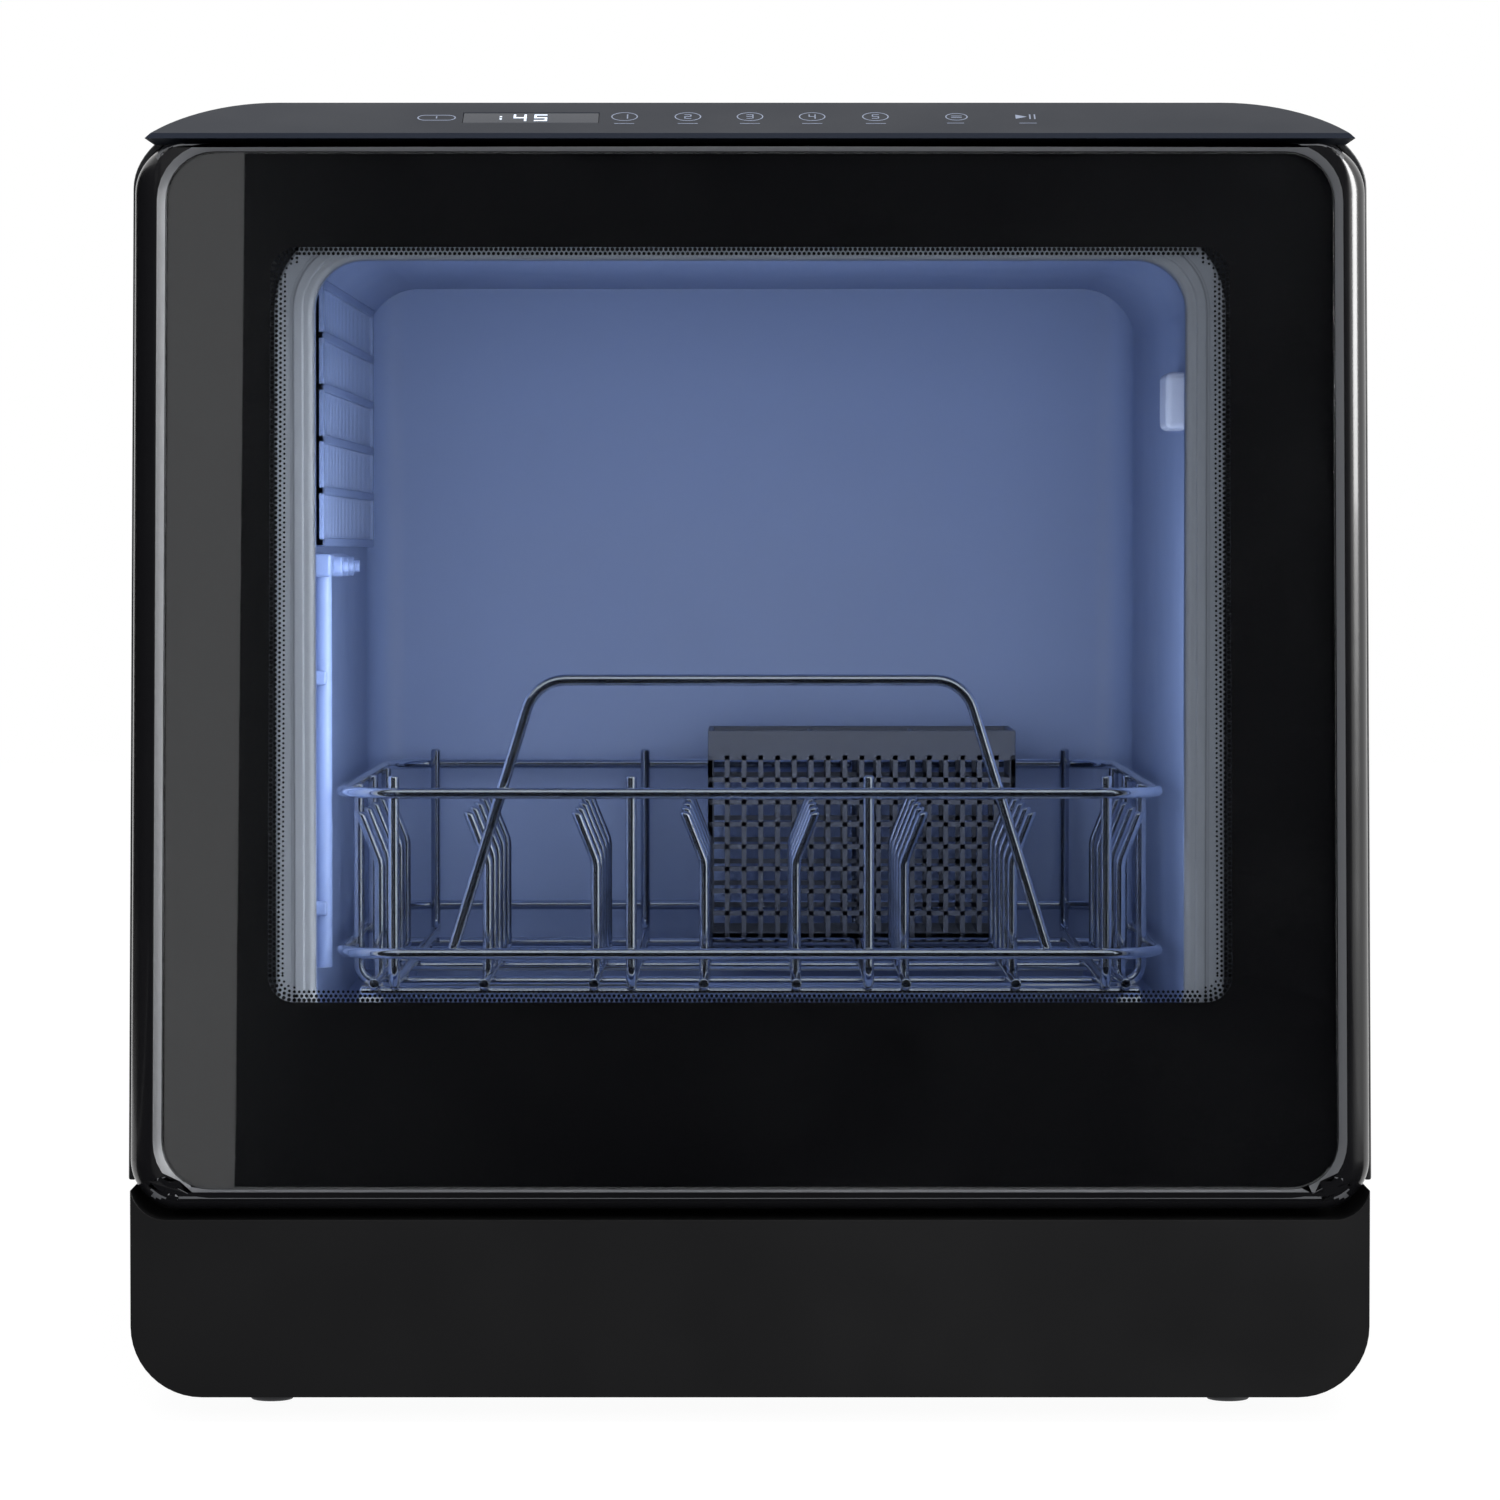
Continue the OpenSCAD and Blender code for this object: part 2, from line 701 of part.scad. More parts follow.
module inlet_valve() {
    color("#dfe1e0") {
        block(inlet_x - 16, inlet_y - 18, inlet_z - 16, inlet_x + 16, inlet_y + 12, inlet_z + 16);
        rod_z(7, inlet_x, inlet_y, inlet_z + 16 - eps, tank_z0);
        rod_y(inlet_r, inlet_x, inlet_y + 12 - eps, rear_y + eps, inlet_z);
        rod_y(inlet_r + 3, inlet_x, rear_y, rear_y + collar_t, inlet_z);
        difference() {
            rod_y(inlet_r, inlet_x, rear_y + collar_t, rear_y + connector_reach, inlet_z);
            rod_y(inlet_bore_r, inlet_x, rear_y + 2, rear_y + connector_reach + cut, inlet_z);
        }
        rod_y(11, inlet_x, inlet_y - 48, inlet_y - 18 + eps, inlet_z);
    }
}

collar_t = 2;
inlet_bore_r = 9;
gland_r = 7;
gland_x = 60;
gland_z = 40;
gland_bore_r = 3.5;

module cord_gland() {
    color("#1a1b1d") difference() {
        union() {
            rod_y(gland_r, gland_x, rear_y - base_wall, rear_y, gland_z);
            rod_y(gland_r + 3, gland_x, rear_y, rear_y + 5, gland_z);
            rod_y(gland_r + 3, gland_x, rear_y - base_wall - 4, rear_y - base_wall, gland_z);
        }
        rod_y(gland_bore_r, gland_x, rear_y - 20, rear_y + 6, gland_z);
    }
}

// Tub
module tub_room(inset) {
    x = tub_w / 2 - inset;
    z0 = tub_floor + inset;
    z1 = tub_top - inset;
    y0 = fascia_rear_y + (inset < 0 ? 0 : tub_wall);
    y1 = tub_rear - tub_wall - inset;
    r = tub_r - inset;
    rr = tub_rear_r - inset;
    intersection() {
        along_y(y0, y1) rounded(-x, z0, x, z1, r);
        translate([0, 0, z0 - cut]) linear_extrude(z1 - z0 + 2 * cut) {
            translate([-x, y0 - cut]) square([2 * x, y1 - y0 - rr + cut]);
            translate([-x + rr, y0 - cut]) square([2 * x - 2 * rr, y1 - y0 + cut]);
            for (s = [-1, 1]) translate([s * (x - rr), y1 - rr]) circle(rr);
        }
    }
}

module tub() {
    half = mouth_w / 2;
    color("#6d7ea6") difference() {
        union() {
            tub_room(-tub_wall);
            along_y(fascia_rear_y, fascia_rear_y + tub_wall)
                rounded(-half - tub_lap, mouth_z0 - tub_lap, half + tub_lap, mouth_z1 + tub_lap,
                    mouth_r + tub_lap);
        }
        tub_room(0);
        along_y(fascia_rear_y - cut, fascia_rear_y + 2 * tub_wall)
            rounded(-half, mouth_z0, half, mouth_z1, mouth_r);
        rod_z(sump_r - 3, sump_x, sump_y, tub_under - cut, tub_floor + cut);
        rod_z(hub_r + seat_gap, 0, spray_y, tub_under - cut, tub_floor + cut);
        for (x = heater_ends()) rod_z(heater_rod_r + seat_gap, x[0], x[1], tub_under - cut, tub_floor + cut);
        rod_z(float_stem_r + 0.6, float_x, float_y, tub_under - cut, tub_floor + cut);
        block(-tub_out_x - cut, grille_y0, grille_z0, -tub_w / 2 + grille_proud + cut, grille_y1, grille_z1);
        block(tub_w / 2 - cut, lamp_y0, lamp_z0, tub_out_x + cut, lamp_y0 + lamp_l, lamp_z0 + lamp_h);
    }
}

module tub_seal() {
    half = mouth_w / 2;
    lip = liner_t - pane_t;
    color("#85878f") difference() {
        union() {
            along_y(rim_y - door_rear_gap, fascia_rear_y) rounded(-half - seal_w + seat_gap,
                mouth_z0 - seal_w + seat_gap, half + seal_w - seat_gap, mouth_z1 + seal_w - seat_gap,
                mouth_r + seal_w - seat_gap);
            along_y(door_rear_y - lip + seat_gap, rim_y) rounded(-half - seal_w + 2, mouth_z0 - seal_w + 2,
                half + seal_w - 2, mouth_z1 + seal_w - 2, mouth_r + seal_w - 2);
        }
        along_y(door_rear_y - 10, fascia_rear_y + cut) rounded(-half, mouth_z0, half, mouth_z1, mouth_r);
    }
}

module basket_ledges() {
    x1 = tub_w / 2;
    y1 = basket_y1 + 8;
    color("#62729a") mirror_x() {
        block(x1 - ledge_w, mouth_inner_y, ledge_top - ledge_t, x1, y1, ledge_top);
        for (y = [mouth_inner_y + 30, -10, y1 - 30])
            along_y(y, y + 3) polygon([[x1 - ledge_w, ledge_top - ledge_t], [x1, ledge_top - ledge_t],
                [x1, tub_floor + tub_r]]);
    }
}
mouth_inner_y = fascia_rear_y + tub_wall;

lamp_l = 27;
lamp_h = 17;
lamp_y0 = fascia_rear_y + 31;
lamp_z0 = grille_z0 + 42;

module lamp_lens() {
    x1 = tub_w / 2;
    color("#e8eaee") {
        block(x1 - 7, lamp_y0 - 1.5, lamp_z0 - 1.5, x1, lamp_y0 + lamp_l + 1.5, lamp_z0 + lamp_h + 1.5);
        block(x1 - eps, lamp_y0, lamp_z0, tub_out_x, lamp_y0 + lamp_l, lamp_z0 + lamp_h);
    }
}

feed_y = fascia_rear_y + 28;
feed_r = 3;
rail_t = 6;

module feed_pipe() {
    x = -tub_w / 2 + feed_r;
    color("#5a6c96") {
        rod_z(feed_r, x, feed_y, mouth_z0 + 22, grille_z0 - 10);
        for (z = [mouth_z0 + 40, grille_z0 - 48])
            block(-tub_w / 2, feed_y - feed_r - 2, z, x + 1, feed_y + feed_r + 2, z + 5);
    }
}

module nozzle_rail() {
    x = -tub_w / 2;
    z0 = grille_z0 - 10;
    color("#5a6c96") {
        block(x, feed_y - 5, z0, x + rail_t, feed_y + 88, z0 + 7);
        for (y = [feed_y + 13, feed_y + 43, feed_y + 73]) {
            rod_x(4, x + rail_t - eps, x + rail_t + 3, y, z0 + 3.5);
            rod_x(2.5, x + rail_t, x + rail_t + 5, y, z0 + 3.5);
        }
    }
}

// Drying air
module air_grille() {
    x0 = -tub_out_x;
    x1 = -tub_w / 2 + grille_proud;
    bar = 3;
    cols = 11;
    rows = 5;
    y1 = grille_y1;
    color("#56679a") {
        for (i = [0 : rows]) {
            z = grille_z0 + i * (grille_h - bar) / rows;
            block(x0, grille_y0, z, x1, y1, z + bar);
        }
        for (i = [0 : cols]) {
            y = grille_y0 + i * (grille_l - bar) / cols;
            block(x0, y, grille_z0, x1 - 1, y + bar, grille_z1);
        }
    }
}

chute_y0 = fan_y + fan_case_r - chute_w;
chute_z1 = grille_z0 - 4;
module air_duct() {
    x0 = duct_x0;
    x1 = -tub_out_x - seat_gap;
    y0 = grille_y0 - 2;
    y1 = grille_y1 + 2;
    z1 = grille_z1 + 2;
    w = duct_wall;
    color("#3d4048") difference() {
        block(x0, y0, chute_z1, x1, y1, z1);
        block(x0 + w, y0 + w, chute_z1 + w, x1 + cut, y1 - w, z1 - w);
        block(x0 + w + cut, chute_y0 + w, chute_z1 - cut, x1 - w, chute_y0 + chute_w - w, chute_z1 + 2 * w);
    }
}

module fan_housing() {
    x0 = fan_x0;
    x1 = fan_x0 + fan_w;
    w = duct_wall;
    color("#33363d") difference() {
        union() {
            rod_x(fan_case_r, x0, x1, fan_y, fan_z);
            block(x0, chute_y0, fan_z, x1, chute_y0 + chute_w, chute_z1);
        }
        rod_x(fan_case_r - w, x0 + w, x1 - w, fan_y, fan_z);
        block(x0 + w, chute_y0 + w, fan_z, x1 - w, chute_y0 + chute_w - w, chute_z1 + cut);
        rod_x(fan_r - 12, x1 - w - cut, x1 + cut, fan_y, fan_z);
        rod_x(fan_shaft_r + 1, x0 - cut, x0 + w + cut, fan_y, fan_z);
    }
}

fan_shaft_r = 2.5;
module fan_wheel() {
    x0 = fan_x0 + 5;
    x1 = fan_x0 + fan_w - 5;
    blades = 24;
    color("#44484f") difference() {
        union() {
            rod_x(fan_r, x0, x0 + 2, fan_y, fan_z);
            rod_x(9, x0, x1 - 8, fan_y, fan_z);
            difference() {
                rod_x(fan_r, x1 - 2, x1, fan_y, fan_z);
                rod_x(fan_r - 7, x1 - 3, x1 + 1, fan_y, fan_z);
            }
            for (i = [0 : blades - 1]) translate([x0 + 1, fan_y, fan_z]) rotate([i * 360 / blades, 0, 0])
                translate([0, fan_r - 6.5, -0.6]) cube([x1 - x0 - 2, 5.5, 1.2]);
        }
        rod_x(fan_shaft_r, x0 - cut, x1, fan_y, fan_z);
    }
    color("#9a9ca0") rod_x(fan_shaft_r, fan_x0 - 5, x0 + 12, fan_y, fan_z);
}

module fan_motor() {
    color("#5b5d61") difference() {
        rod_x(22, fan_x0 - 9, fan_x0, fan_y, fan_z);
        rod_x(fan_shaft_r + run_fit, fan_x0 - 6, fan_x0 + cut, fan_y, fan_z);
    }
}

module dry_heater() {
    x0 = fan_x0 + duct_wall;
    x1 = fan_x0 + fan_w - duct_wall;
    z0 = chute_z1 - 30;
    color("#b9a98e") difference() {
        block(x0, chute_y0 + duct_wall, z0, x1, chute_y0 + chute_w - duct_wall, z0 + 12);
        for (i = [0 : 5])
            block(x0 + 3, chute_y0 + 5 + i * 5, z0 - cut, x1 - 3, chute_y0 + 8 + i * 5, z0 + 13);
    }
}

// Spray
module spray_hub() {
    top = arm_z1 + 4;
    color("#50545c") difference() {
        union() {
            rod_z(hub_r, 0, spray_y, hub_port_z - hose_r - 3, tub_floor + 6);
            rod_z(hub_r + 6, 0, spray_y, tub_floor, tub_floor + 4);
            rod_z(arm_pin_r, 0, spray_y, tub_floor, top);
            rod_z(arm_pin_r + 4, 0, spray_y, arm_z1 + 0.4, top);
            rod_y(hose_r + 1, 0, spray_y, port_face_y, hub_port_z);
        }
        rod_y(hose_r - 2, 0, spray_y, port_face_y + cut, hub_port_z);
    }
}
port_face_y = pump_y + pump_w / 2 - elbow_r - 1;

arm_z0 = tub_floor + 12;
arm_z1 = arm_z0 + 10;
module spray_arm() {
    tip = 11;
    color("#7d8188") difference() {
        union() {
            for (a = [0, 180]) translate([0, spray_y, arm_z0 + 2]) rotate([0, 0, a]) linear_extrude(6)
                polygon([[0, -17], [arm_reach - tip, -tip], [arm_reach - tip, tip], [0, 17]]);
            for (s = [-1, 1]) rod_z(tip, s * (arm_reach - tip), spray_y, arm_z0 + 2, arm_z0 + 8);
            rod_z(20, 0, spray_y, arm_z0, arm_z1);
        }
        rod_z(arm_pin_r + run_fit, 0, spray_y, arm_z0 - cut, arm_z1 + cut);
        for (x = [-110, -86, -62, -38, 38, 62, 86, 110]) block(x - 4, spray_y - 1 + x * 0.04, arm_z0 + 6,
            x + 4, spray_y + 1 + x * 0.04, arm_z0 + 9);
    }
}

module filter_plate() {
    color("#a7a9ad") difference() {
        rod_z(sump_r + 14, sump_x, sump_y, tub_floor, tub_floor + 1.2);
        rod_z(filter_r + 0.5, sump_x, sump_y, tub_floor - cut, tub_floor + 3);
        for (a = [0 : 15 : 345]) translate([sump_x, sump_y, tub_floor - cut]) rotate([0, 0, a])
            translate([sump_r + 6, 0, 0]) cylinder(r = 2, h = 4);
    }
}

module filter_cup() {
    color("#4b4f57") difference() {
        union() {
            rod_z(filter_r, sump_x, sump_y, tub_floor - 40, tub_floor + 3);
            block(sump_x - 22, sump_y - 2.5, tub_floor + 2, sump_x + 22, sump_y + 2.5, tub_floor + 9);
        }
        difference() {
            rod_z(filter_r - 2, sump_x, sump_y, tub_floor - 38, tub_floor + 4);
            block(sump_x - filter_r, sump_y - 2.5, tub_floor - 6, sump_x + filter_r, sump_y + 2.5,
                tub_floor + 5);
        }
        for (a = [0 : 30 : 330]) translate([sump_x, sump_y, tub_floor - 33]) rotate([0, 0, a])
            translate([filter_r - 4, -2, 0]) cube([8, 4, 22]);
    }
}

module sump() {
    z0 = tub_under - sump_depth + tub_wall;
    color("#3f434b") difference() {
        union() {
            rod_z(sump_r, sump_x, sump_y, z0, tub_under);
            rod_z(sump_r + 8, sump_x, sump_y, tub_under - 2.5, tub_under);
            rod_x(hose_r + 1, sump_x, sump_x + sump_r + 6, sump_y, pump_z);
            rod_x(hose_r + 1, sump_x - sump_r - 6, sump_x, sump_y, drain_z);
        }
        rod_z(sump_r - 3, sump_x, sump_y, z0 + 3, tub_under + cut);
        rod_x(hose_r - 2, sump_x, sump_x + sump_r + 7, sump_y, pump_z);
        rod_x(hose_r - 2, sump_x - sump_r - 7, sump_x, sump_y, drain_z);
        rod_x(tank_hose_r + run_fit, sump_x, sump_x + sump_r + 7, tank_feed_y, tank_feed_z);
    }
}

module elbow(r, bend) {
    rotate_extrude(angle = 90) translate([bend, 0]) circle(r);
}

module sump_hose() {
    bend = 16;
    x0 = sump_x + sump_r + 6;
    color("#26282c") {
        rod_x(hose_r, x0, pump_x - bend, sump_y, pump_z);
        translate([pump_x - bend, sump_y + bend, pump_z]) rotate([0, 0, -90]) elbow(hose_r, bend);
        rod_y(hose_r, pump_x, sump_y + bend, pump_y - 18, pump_z);
    }
}

module wash_pump() {
    y1 = pump_y + pump_w;
    color("#2f3238") difference() {
        union() {
            rod_y(pump_r, pump_x, pump_y, y1, pump_z);
            rod_z(hose_r, outlet_x, pump_y + pump_w / 2, pump_z, hub_port_z - elbow_r);
            rod_y(hose_r + 1, pump_x, pump_y - 18, pump_y + 1, pump_z);
            block(pump_x - 20, pump_y + 4, foot_h + base_wall, pump_x + 20, y1 - 4, pump_z - 20);
        }
        rod_y(pump_r - volute_wall, pump_x, pump_y + volute_wall - 1, y1 - volute_wall + 1, pump_z);
        rod_y(hose_r - 2, pump_x, pump_y - 19, pump_y + volute_wall, pump_z);
        rod_z(hose_r - 3, outlet_x, pump_y + pump_w / 2, pump_z, hub_port_z - elbow_r + cut);
        rod_y(shaft_r + 0.5, pump_x, y1 - volute_wall, y1 + cut, pump_z);
    }
}

shaft_r = 3;
module wash_impeller() {
    color("#caccd0") {
        rod_y(pump_r - volute_wall - 2, pump_x, pump_y + 20, pump_y + 22, pump_z);
        for (a = [0 : 60 : 300]) translate([pump_x, pump_y + 10, pump_z]) rotate([0, a, 0])
            translate([5, 0, -1]) cube([pump_r - volute_wall - 8, 10 + eps, 2]);
        rod_y(7, pump_x, pump_y + 8, pump_y + 20 + eps, pump_z);
        rod_y(shaft_r, pump_x, pump_y + 20, pump_y + pump_w + 26, pump_z);
    }
}

module wash_motor() {
    y0 = pump_y + pump_w;
    color("#6a6d72") difference() {
        union() {
            rod_y(27, pump_x, y0, y0 + 62, pump_z);
            rod_y(12, pump_x, y0 + 62, y0 + 68, pump_z);
            block(pump_x - 20, y0 + 10, foot_h + base_wall, pump_x + 20, y0 + 50, pump_z - 20);
        }
        rod_y(shaft_r + run_fit, pump_x, y0 - cut, y0 + 30, pump_z);
    }
}

module spray_hose() {
    y = pump_y + pump_w / 2;
    color("#26282c") {
        translate([outlet_x, y - elbow_r, hub_port_z - elbow_r]) rotate([0, 0, 90]) rotate([90, 0, 0])
            elbow(hose_r, elbow_r);
        rod_y(hose_r, outlet_x, port_face_y, y - elbow_r, hub_port_z);
    }
}

heater_r = 115;
heater_rod_r = 3.5;
heater_a0 = -92;
heater_span = 262;
heater_z = tub_floor + 6;
function heater_ends() = [for (a = [heater_a0, heater_a0 + heater_span])
    [heater_r * cos(a), spray_y + heater_r * sin(a)]];

module water_heater() {
    color("#77787c") {
        translate([0, spray_y, heater_z]) rotate([0, 0, heater_a0]) rotate_extrude(angle = heater_span)
            translate([heater_r, 0]) circle(heater_rod_r);
        for (p = heater_ends()) {
            rod_z(heater_rod_r, p[0], p[1], tub_under - 8, heater_z);
            translate([p[0], p[1], heater_z]) sphere(heater_rod_r + 0.4);
            rod_z(heater_rod_r + 3, p[0], p[1], tub_under - 4, tub_under);
        }
    }
}

module drain_pump() {
    x1 = sump_x - sump_r - 6;
    x0 = x1 - 24;
    color("#2f3238") difference() {
        union() {
            rod_x(drain_r, x0, x1, sump_y, drain_z);
            rod_x(16, x0 - 38, x0 + eps, sump_y, drain_z);
            rod_y(hose_r, drain_hose_x, sump_y, sump_y + drain_r + 6, drain_hose_z);
            block(x0 + 2, sump_y - 12, foot_h + base_wall, x1 - 2, sump_y + 12, drain_z - 14);
        }
        rod_x(drain_r - 3, x0 + 3, x1 - 3, sump_y, drain_z);
        rod_x(hose_r - 2, x1 - 4, x1 + cut, sump_y, drain_z);
        rod_x(drain_shaft_r + run_fit, x0 - 14, x0 + 4, sump_y, drain_z);
        rod_y(hose_r - 3, drain_hose_x, sump_y, sump_y + drain_r + 7, drain_hose_z);
    }
}

drain_shaft_r = 2;
module drain_impeller() {
    x1 = sump_x - sump_r - 6;
    x0 = x1 - 24;
    color("#caccd0") {
        rod_x(13, x0 + 5, x0 + 7, sump_y, drain_z);
        rod_x(drain_shaft_r, x0 - 12, x0 + 16, sump_y, drain_z);
        for (a = [0 : 90 : 270]) translate([x0 + 7 - eps, sump_y, drain_z]) rotate([a, 0, 0])
            translate([0, 1, -0.8]) cube([8, 11, 1.6]);
    }
}

module drain_hose() {
    color("#4a4d52") difference() {
        union() {
            rod_y(hose_r, drain_hose_x, sump_y + drain_r + 6, rear_y - base_wall, drain_hose_z);
            rod_y(spigot_r, drain_hose_x, rear_y - base_wall - eps, rear_y + eps, drain_hose_z);
            rod_y(spigot_r + 3, drain_hose_x, rear_y, rear_y + collar_t, drain_hose_z);
            rod_y(spigot_r, drain_hose_x, rear_y + collar_t - eps, rear_y + connector_reach, drain_hose_z);
        }
        rod_y(hose_r - 2, drain_hose_x, rear_y - 10, rear_y + connector_reach + cut, drain_hose_z);
    }
}

float_x = 110;
float_y = -110;
float_stem_r = 3;
float_r = 14;
module float() {
    color("#d8dad6") {
        difference() {
            rod_z(float_r, float_x, float_y, tub_floor + seat_gap, tub_floor + 16);
            rod_z(float_r - 2, float_x, float_y, tub_floor, tub_floor + 14);
        }
        rod_z(float_stem_r, float_x, float_y, tub_under - 10, tub_floor + 15);
    }
}

module float_switch() {
    z1 = tub_under;
    color("#2a5a86") difference() {
        block(float_x - 9, float_y - 9, z1 - 22, float_x + 9, float_y + 9, z1);
        rod_z(float_stem_r + 0.6, float_x, float_y, z1 - 11, z1 + cut);
    }
}

board_x0 = -180;
board_w = 44;
board_y0 = 20;
board_l = 110;
module power_board() {
    z0 = foot_h + base_wall;
    x1 = board_x0 + board_w;
    y1 = board_y0 + board_l;
    color("#2f5d3a") {
        block(board_x0, board_y0, z0 + 4, x1, y1, z0 + 6);
        for (x = [board_x0 + 1, x1 - 5], y = [board_y0 + 3, y1 - 7])
            block(x, y, z0, x + 4, y + 4, z0 + 4 + eps);
    }
    color("#2b2d30") {
        block(board_x0 + 4, board_y0 + 10, z0 + 6 - eps, board_x0 + 28, board_y0 + 38, z0 + 30);
        block(board_x0 + 6, board_y0 + 48, z0 + 6 - eps, board_x0 + 24, board_y0 + 66, z0 + 24);
        for (i = [0 : 2]) rod_z(6, x1 - 9, board_y0 + 30 + i * 18, z0 + 6 - eps, z0 + 28);
    }
}

// Door latch
module latch_housing() {
    y0 = fascia_rear_y;
    y1 = pawl_y + 12;
    z0 = mouth_z1 + tub_lap + seat_gap;
    z1 = pawl_z + 9;
    w = 2;
    color("#3a3c41") {
        difference() {
            block(-latch_x, y0, z0, latch_x, y1, z1);
            block(-latch_x + w, y0 - cut, z0 + w, latch_x - w, y1 - w, z1 - w);
        }
        rod_x(latch_pin_r, -latch_x + w - eps, latch_x - w + eps, pawl_y, pawl_z);
    }
}

latch_pin_r = 2;
pawl_w = 6;
module latch_pawl() {
    nose_y = fascia_rear_y + 4;
    nose_z = striker_z + striker_t + seat_gap;
    color("#d5d6d2") difference() {
        union() {
            along_x(-pawl_w / 2, pawl_w / 2) polygon([[pawl_y, pawl_z - 4], [nose_y + 6, nose_z + 3],
                [nose_y + 2, nose_z], [nose_y, nose_z + 2], [nose_y, nose_z + 6], [pawl_y, pawl_z + 4]]);
            rod_x(pawl_r, -pawl_w / 2, pawl_w / 2, pawl_y, pawl_z);
        }
        rod_x(latch_pin_r + run_fit, -pawl_w, pawl_w, pawl_y, pawl_z);
    }
}

module latch_spring() {
    color("#a8aab0") difference() {
        rod_x(3.4, pawl_w / 2 + 0.5, pawl_w / 2 + 7, pawl_y, pawl_z);
        rod_x(latch_pin_r, pawl_w / 2, pawl_w / 2 + 8, pawl_y, pawl_z);
    }
}

module latch_striker() {
    half = striker_w / 2;
    color("#b4b6ba") {
        block(-half, door_rear_y, striker_z, half, door_rear_y + striker_reach, striker_z + striker_t);
        block(-half, door_rear_y, striker_z - 3, half, door_rear_y + 1.2, striker_z + striker_t + 3);
    }
}

// Hinge
module hinge_brackets() {
    color("#8d9096") mirror_x() difference() {
        union() {
            block(lug_x, hinge_y, hinge_z - lug_r, lug_x + lug_w, fascia_rear_y + 20, hinge_z + lug_r);
            rod_x(lug_r, lug_x, lug_x + lug_w, hinge_y, hinge_z);
            block(lug_x - 4, fascia_rear_y, base_top - 12, lug_x + lug_w + 4, fascia_rear_y + 3,
                hinge_z + lug_r);
            block(lug_x, fascia_rear_y, base_top - 12, lug_x + lug_w, fascia_rear_y + 20, hinge_z + lug_r);
        }
        rod_x(hinge_pin_r + pin_fit, lug_x - cut, lug_x + lug_w + cut, hinge_y, hinge_z);
    }
}

module hinge_pins() {
    color("#b4b6ba") mirror_x() rod_x(hinge_pin_r, pin_x0, pin_x0 + pin_l, hinge_y, hinge_z);
}

// Room in the door for a lug over the whole swing
module hinge_notch() {
    r = lug_r + notch_gap;
    x0 = lug_x - notch_gap;
    x1 = lug_x + lug_w + notch_gap;
    mirror_x() {
        rod_x(r, x0, x1, hinge_y, hinge_z);
        block(x0, hinge_y, door_z0 - cut, x1, door_rear_y + cut, hinge_z);
        block(x0, hinge_y, hinge_z - eps, x1, door_rear_y + cut, hinge_z + r);
        block(x0, hinge_y - r, door_z0 - cut, x1, hinge_y + eps, hinge_z);
    }
}

// Door
module door_outline() {
    half = door_w / 2;
    intersection() {
        along_y(front_y, door_rear_y) rounded(-half, door_z0, half, door_z1, door_r);
        along_x(-half, half) {
            translate([front_y + door_edge_r, door_z0]) square([hinge_y - front_y - door_edge_r, hinge_r]);
            translate([front_y, door_z0 + door_edge_r]) square([door_edge_r + eps, hinge_r]);
            translate([front_y + door_edge_r, door_z0 + door_edge_r]) circle(door_edge_r);
            translate([hinge_y, hinge_z]) circle(hinge_r);
            translate([front_y, hinge_z]) square([door_t, door_z1 - hinge_z]);
        }
        translate([0, 0, door_z0]) linear_extrude(door_z1 - door_z0) {
            translate([-half + door_side_r, front_y]) square([door_w - 2 * door_side_r, door_t]);
            translate([-half, front_y + door_side_r]) square([door_w, door_t - door_side_r]);
            for (s = [-1, 1])
                translate([s * (half - door_side_r), front_y + door_side_r]) circle(door_side_r);
        }
    }
}

module door_frame() {
    inner = door_w / 2 - door_wall;
    scoop_r = (scoop_w * scoop_w / 4 + scoop_h * scoop_h) / (2 * scoop_h);
    color("#2a2b2c") difference() {
        door_outline();
        along_y(front_y - cut, pocket_y) rounded(-glass_half - glass_gap, glass_z0 - glass_gap,
            glass_half + glass_gap, glass_z1 + glass_gap, glass_r + glass_gap);
        along_y(pocket_y - eps, liner_y + eps) rounded(-inner, liner_open_z0 - 4, inner, liner_z1 - 6, 10);
        along_y(liner_y, door_rear_y + cut) rounded(-liner_half, liner_z0, liner_half, liner_z1, 12);
        along_y(front_y - cut, door_rear_y + cut) translate([0, door_z1 + scoop_r - scoop_h])
            circle(scoop_r, $fn = 360);
        hinge_notch();
        mirror_x() rod_x(hinge_pin_r, pin_x0, pin_x0 + pin_l, hinge_y, hinge_z);
    }
}

module door_glass() {
    color([0.1, 0.1, 0.12, 0.35]) along_y(front_y + glass_sink, border_y)
        rounded(-glass_half, glass_z0, glass_half, glass_z1, glass_r);
}

module glass_border() {
    color("#050506") difference() {
        along_y(border_y, pocket_y) rounded(-glass_half, glass_z0, glass_half, glass_z1, glass_r);
        along_y(border_y - cut, pocket_y + cut)
            rounded(-window_w / 2, window_z0, window_w / 2, window_z1, mouth_r);
    }
}

module door_liner() {
    half = liner_open_w / 2;
    edge = 0.2;
    color("#3a3c41") difference() {
        along_y(liner_y, door_rear_y)
            rounded(-liner_half + edge, liner_z0 + edge, liner_half - edge, liner_z1 - edge, 12 - edge);
        along_y(liner_y - cut, door_rear_y + cut)
            rounded(-half, liner_open_z0, half, liner_open_z1, mouth_r);
        along_y(liner_y - cut, liner_y + pane_t) rounded(-half - pane_lap, liner_open_z0 - pane_lap / 2,
            half + pane_lap, liner_open_z1 + pane_lap, mouth_r);
    }
}

module inner_window() {
    half = liner_open_w / 2;
    edge = 0.2;
    color([0.7, 0.75, 0.8, 0.3]) along_y(liner_y, liner_y + pane_t)
        rounded(-half - pane_lap + edge, liner_open_z0 - pane_lap / 2 + edge,
            half + pane_lap - edge, liner_open_z1 + pane_lap - edge, mouth_r);
}

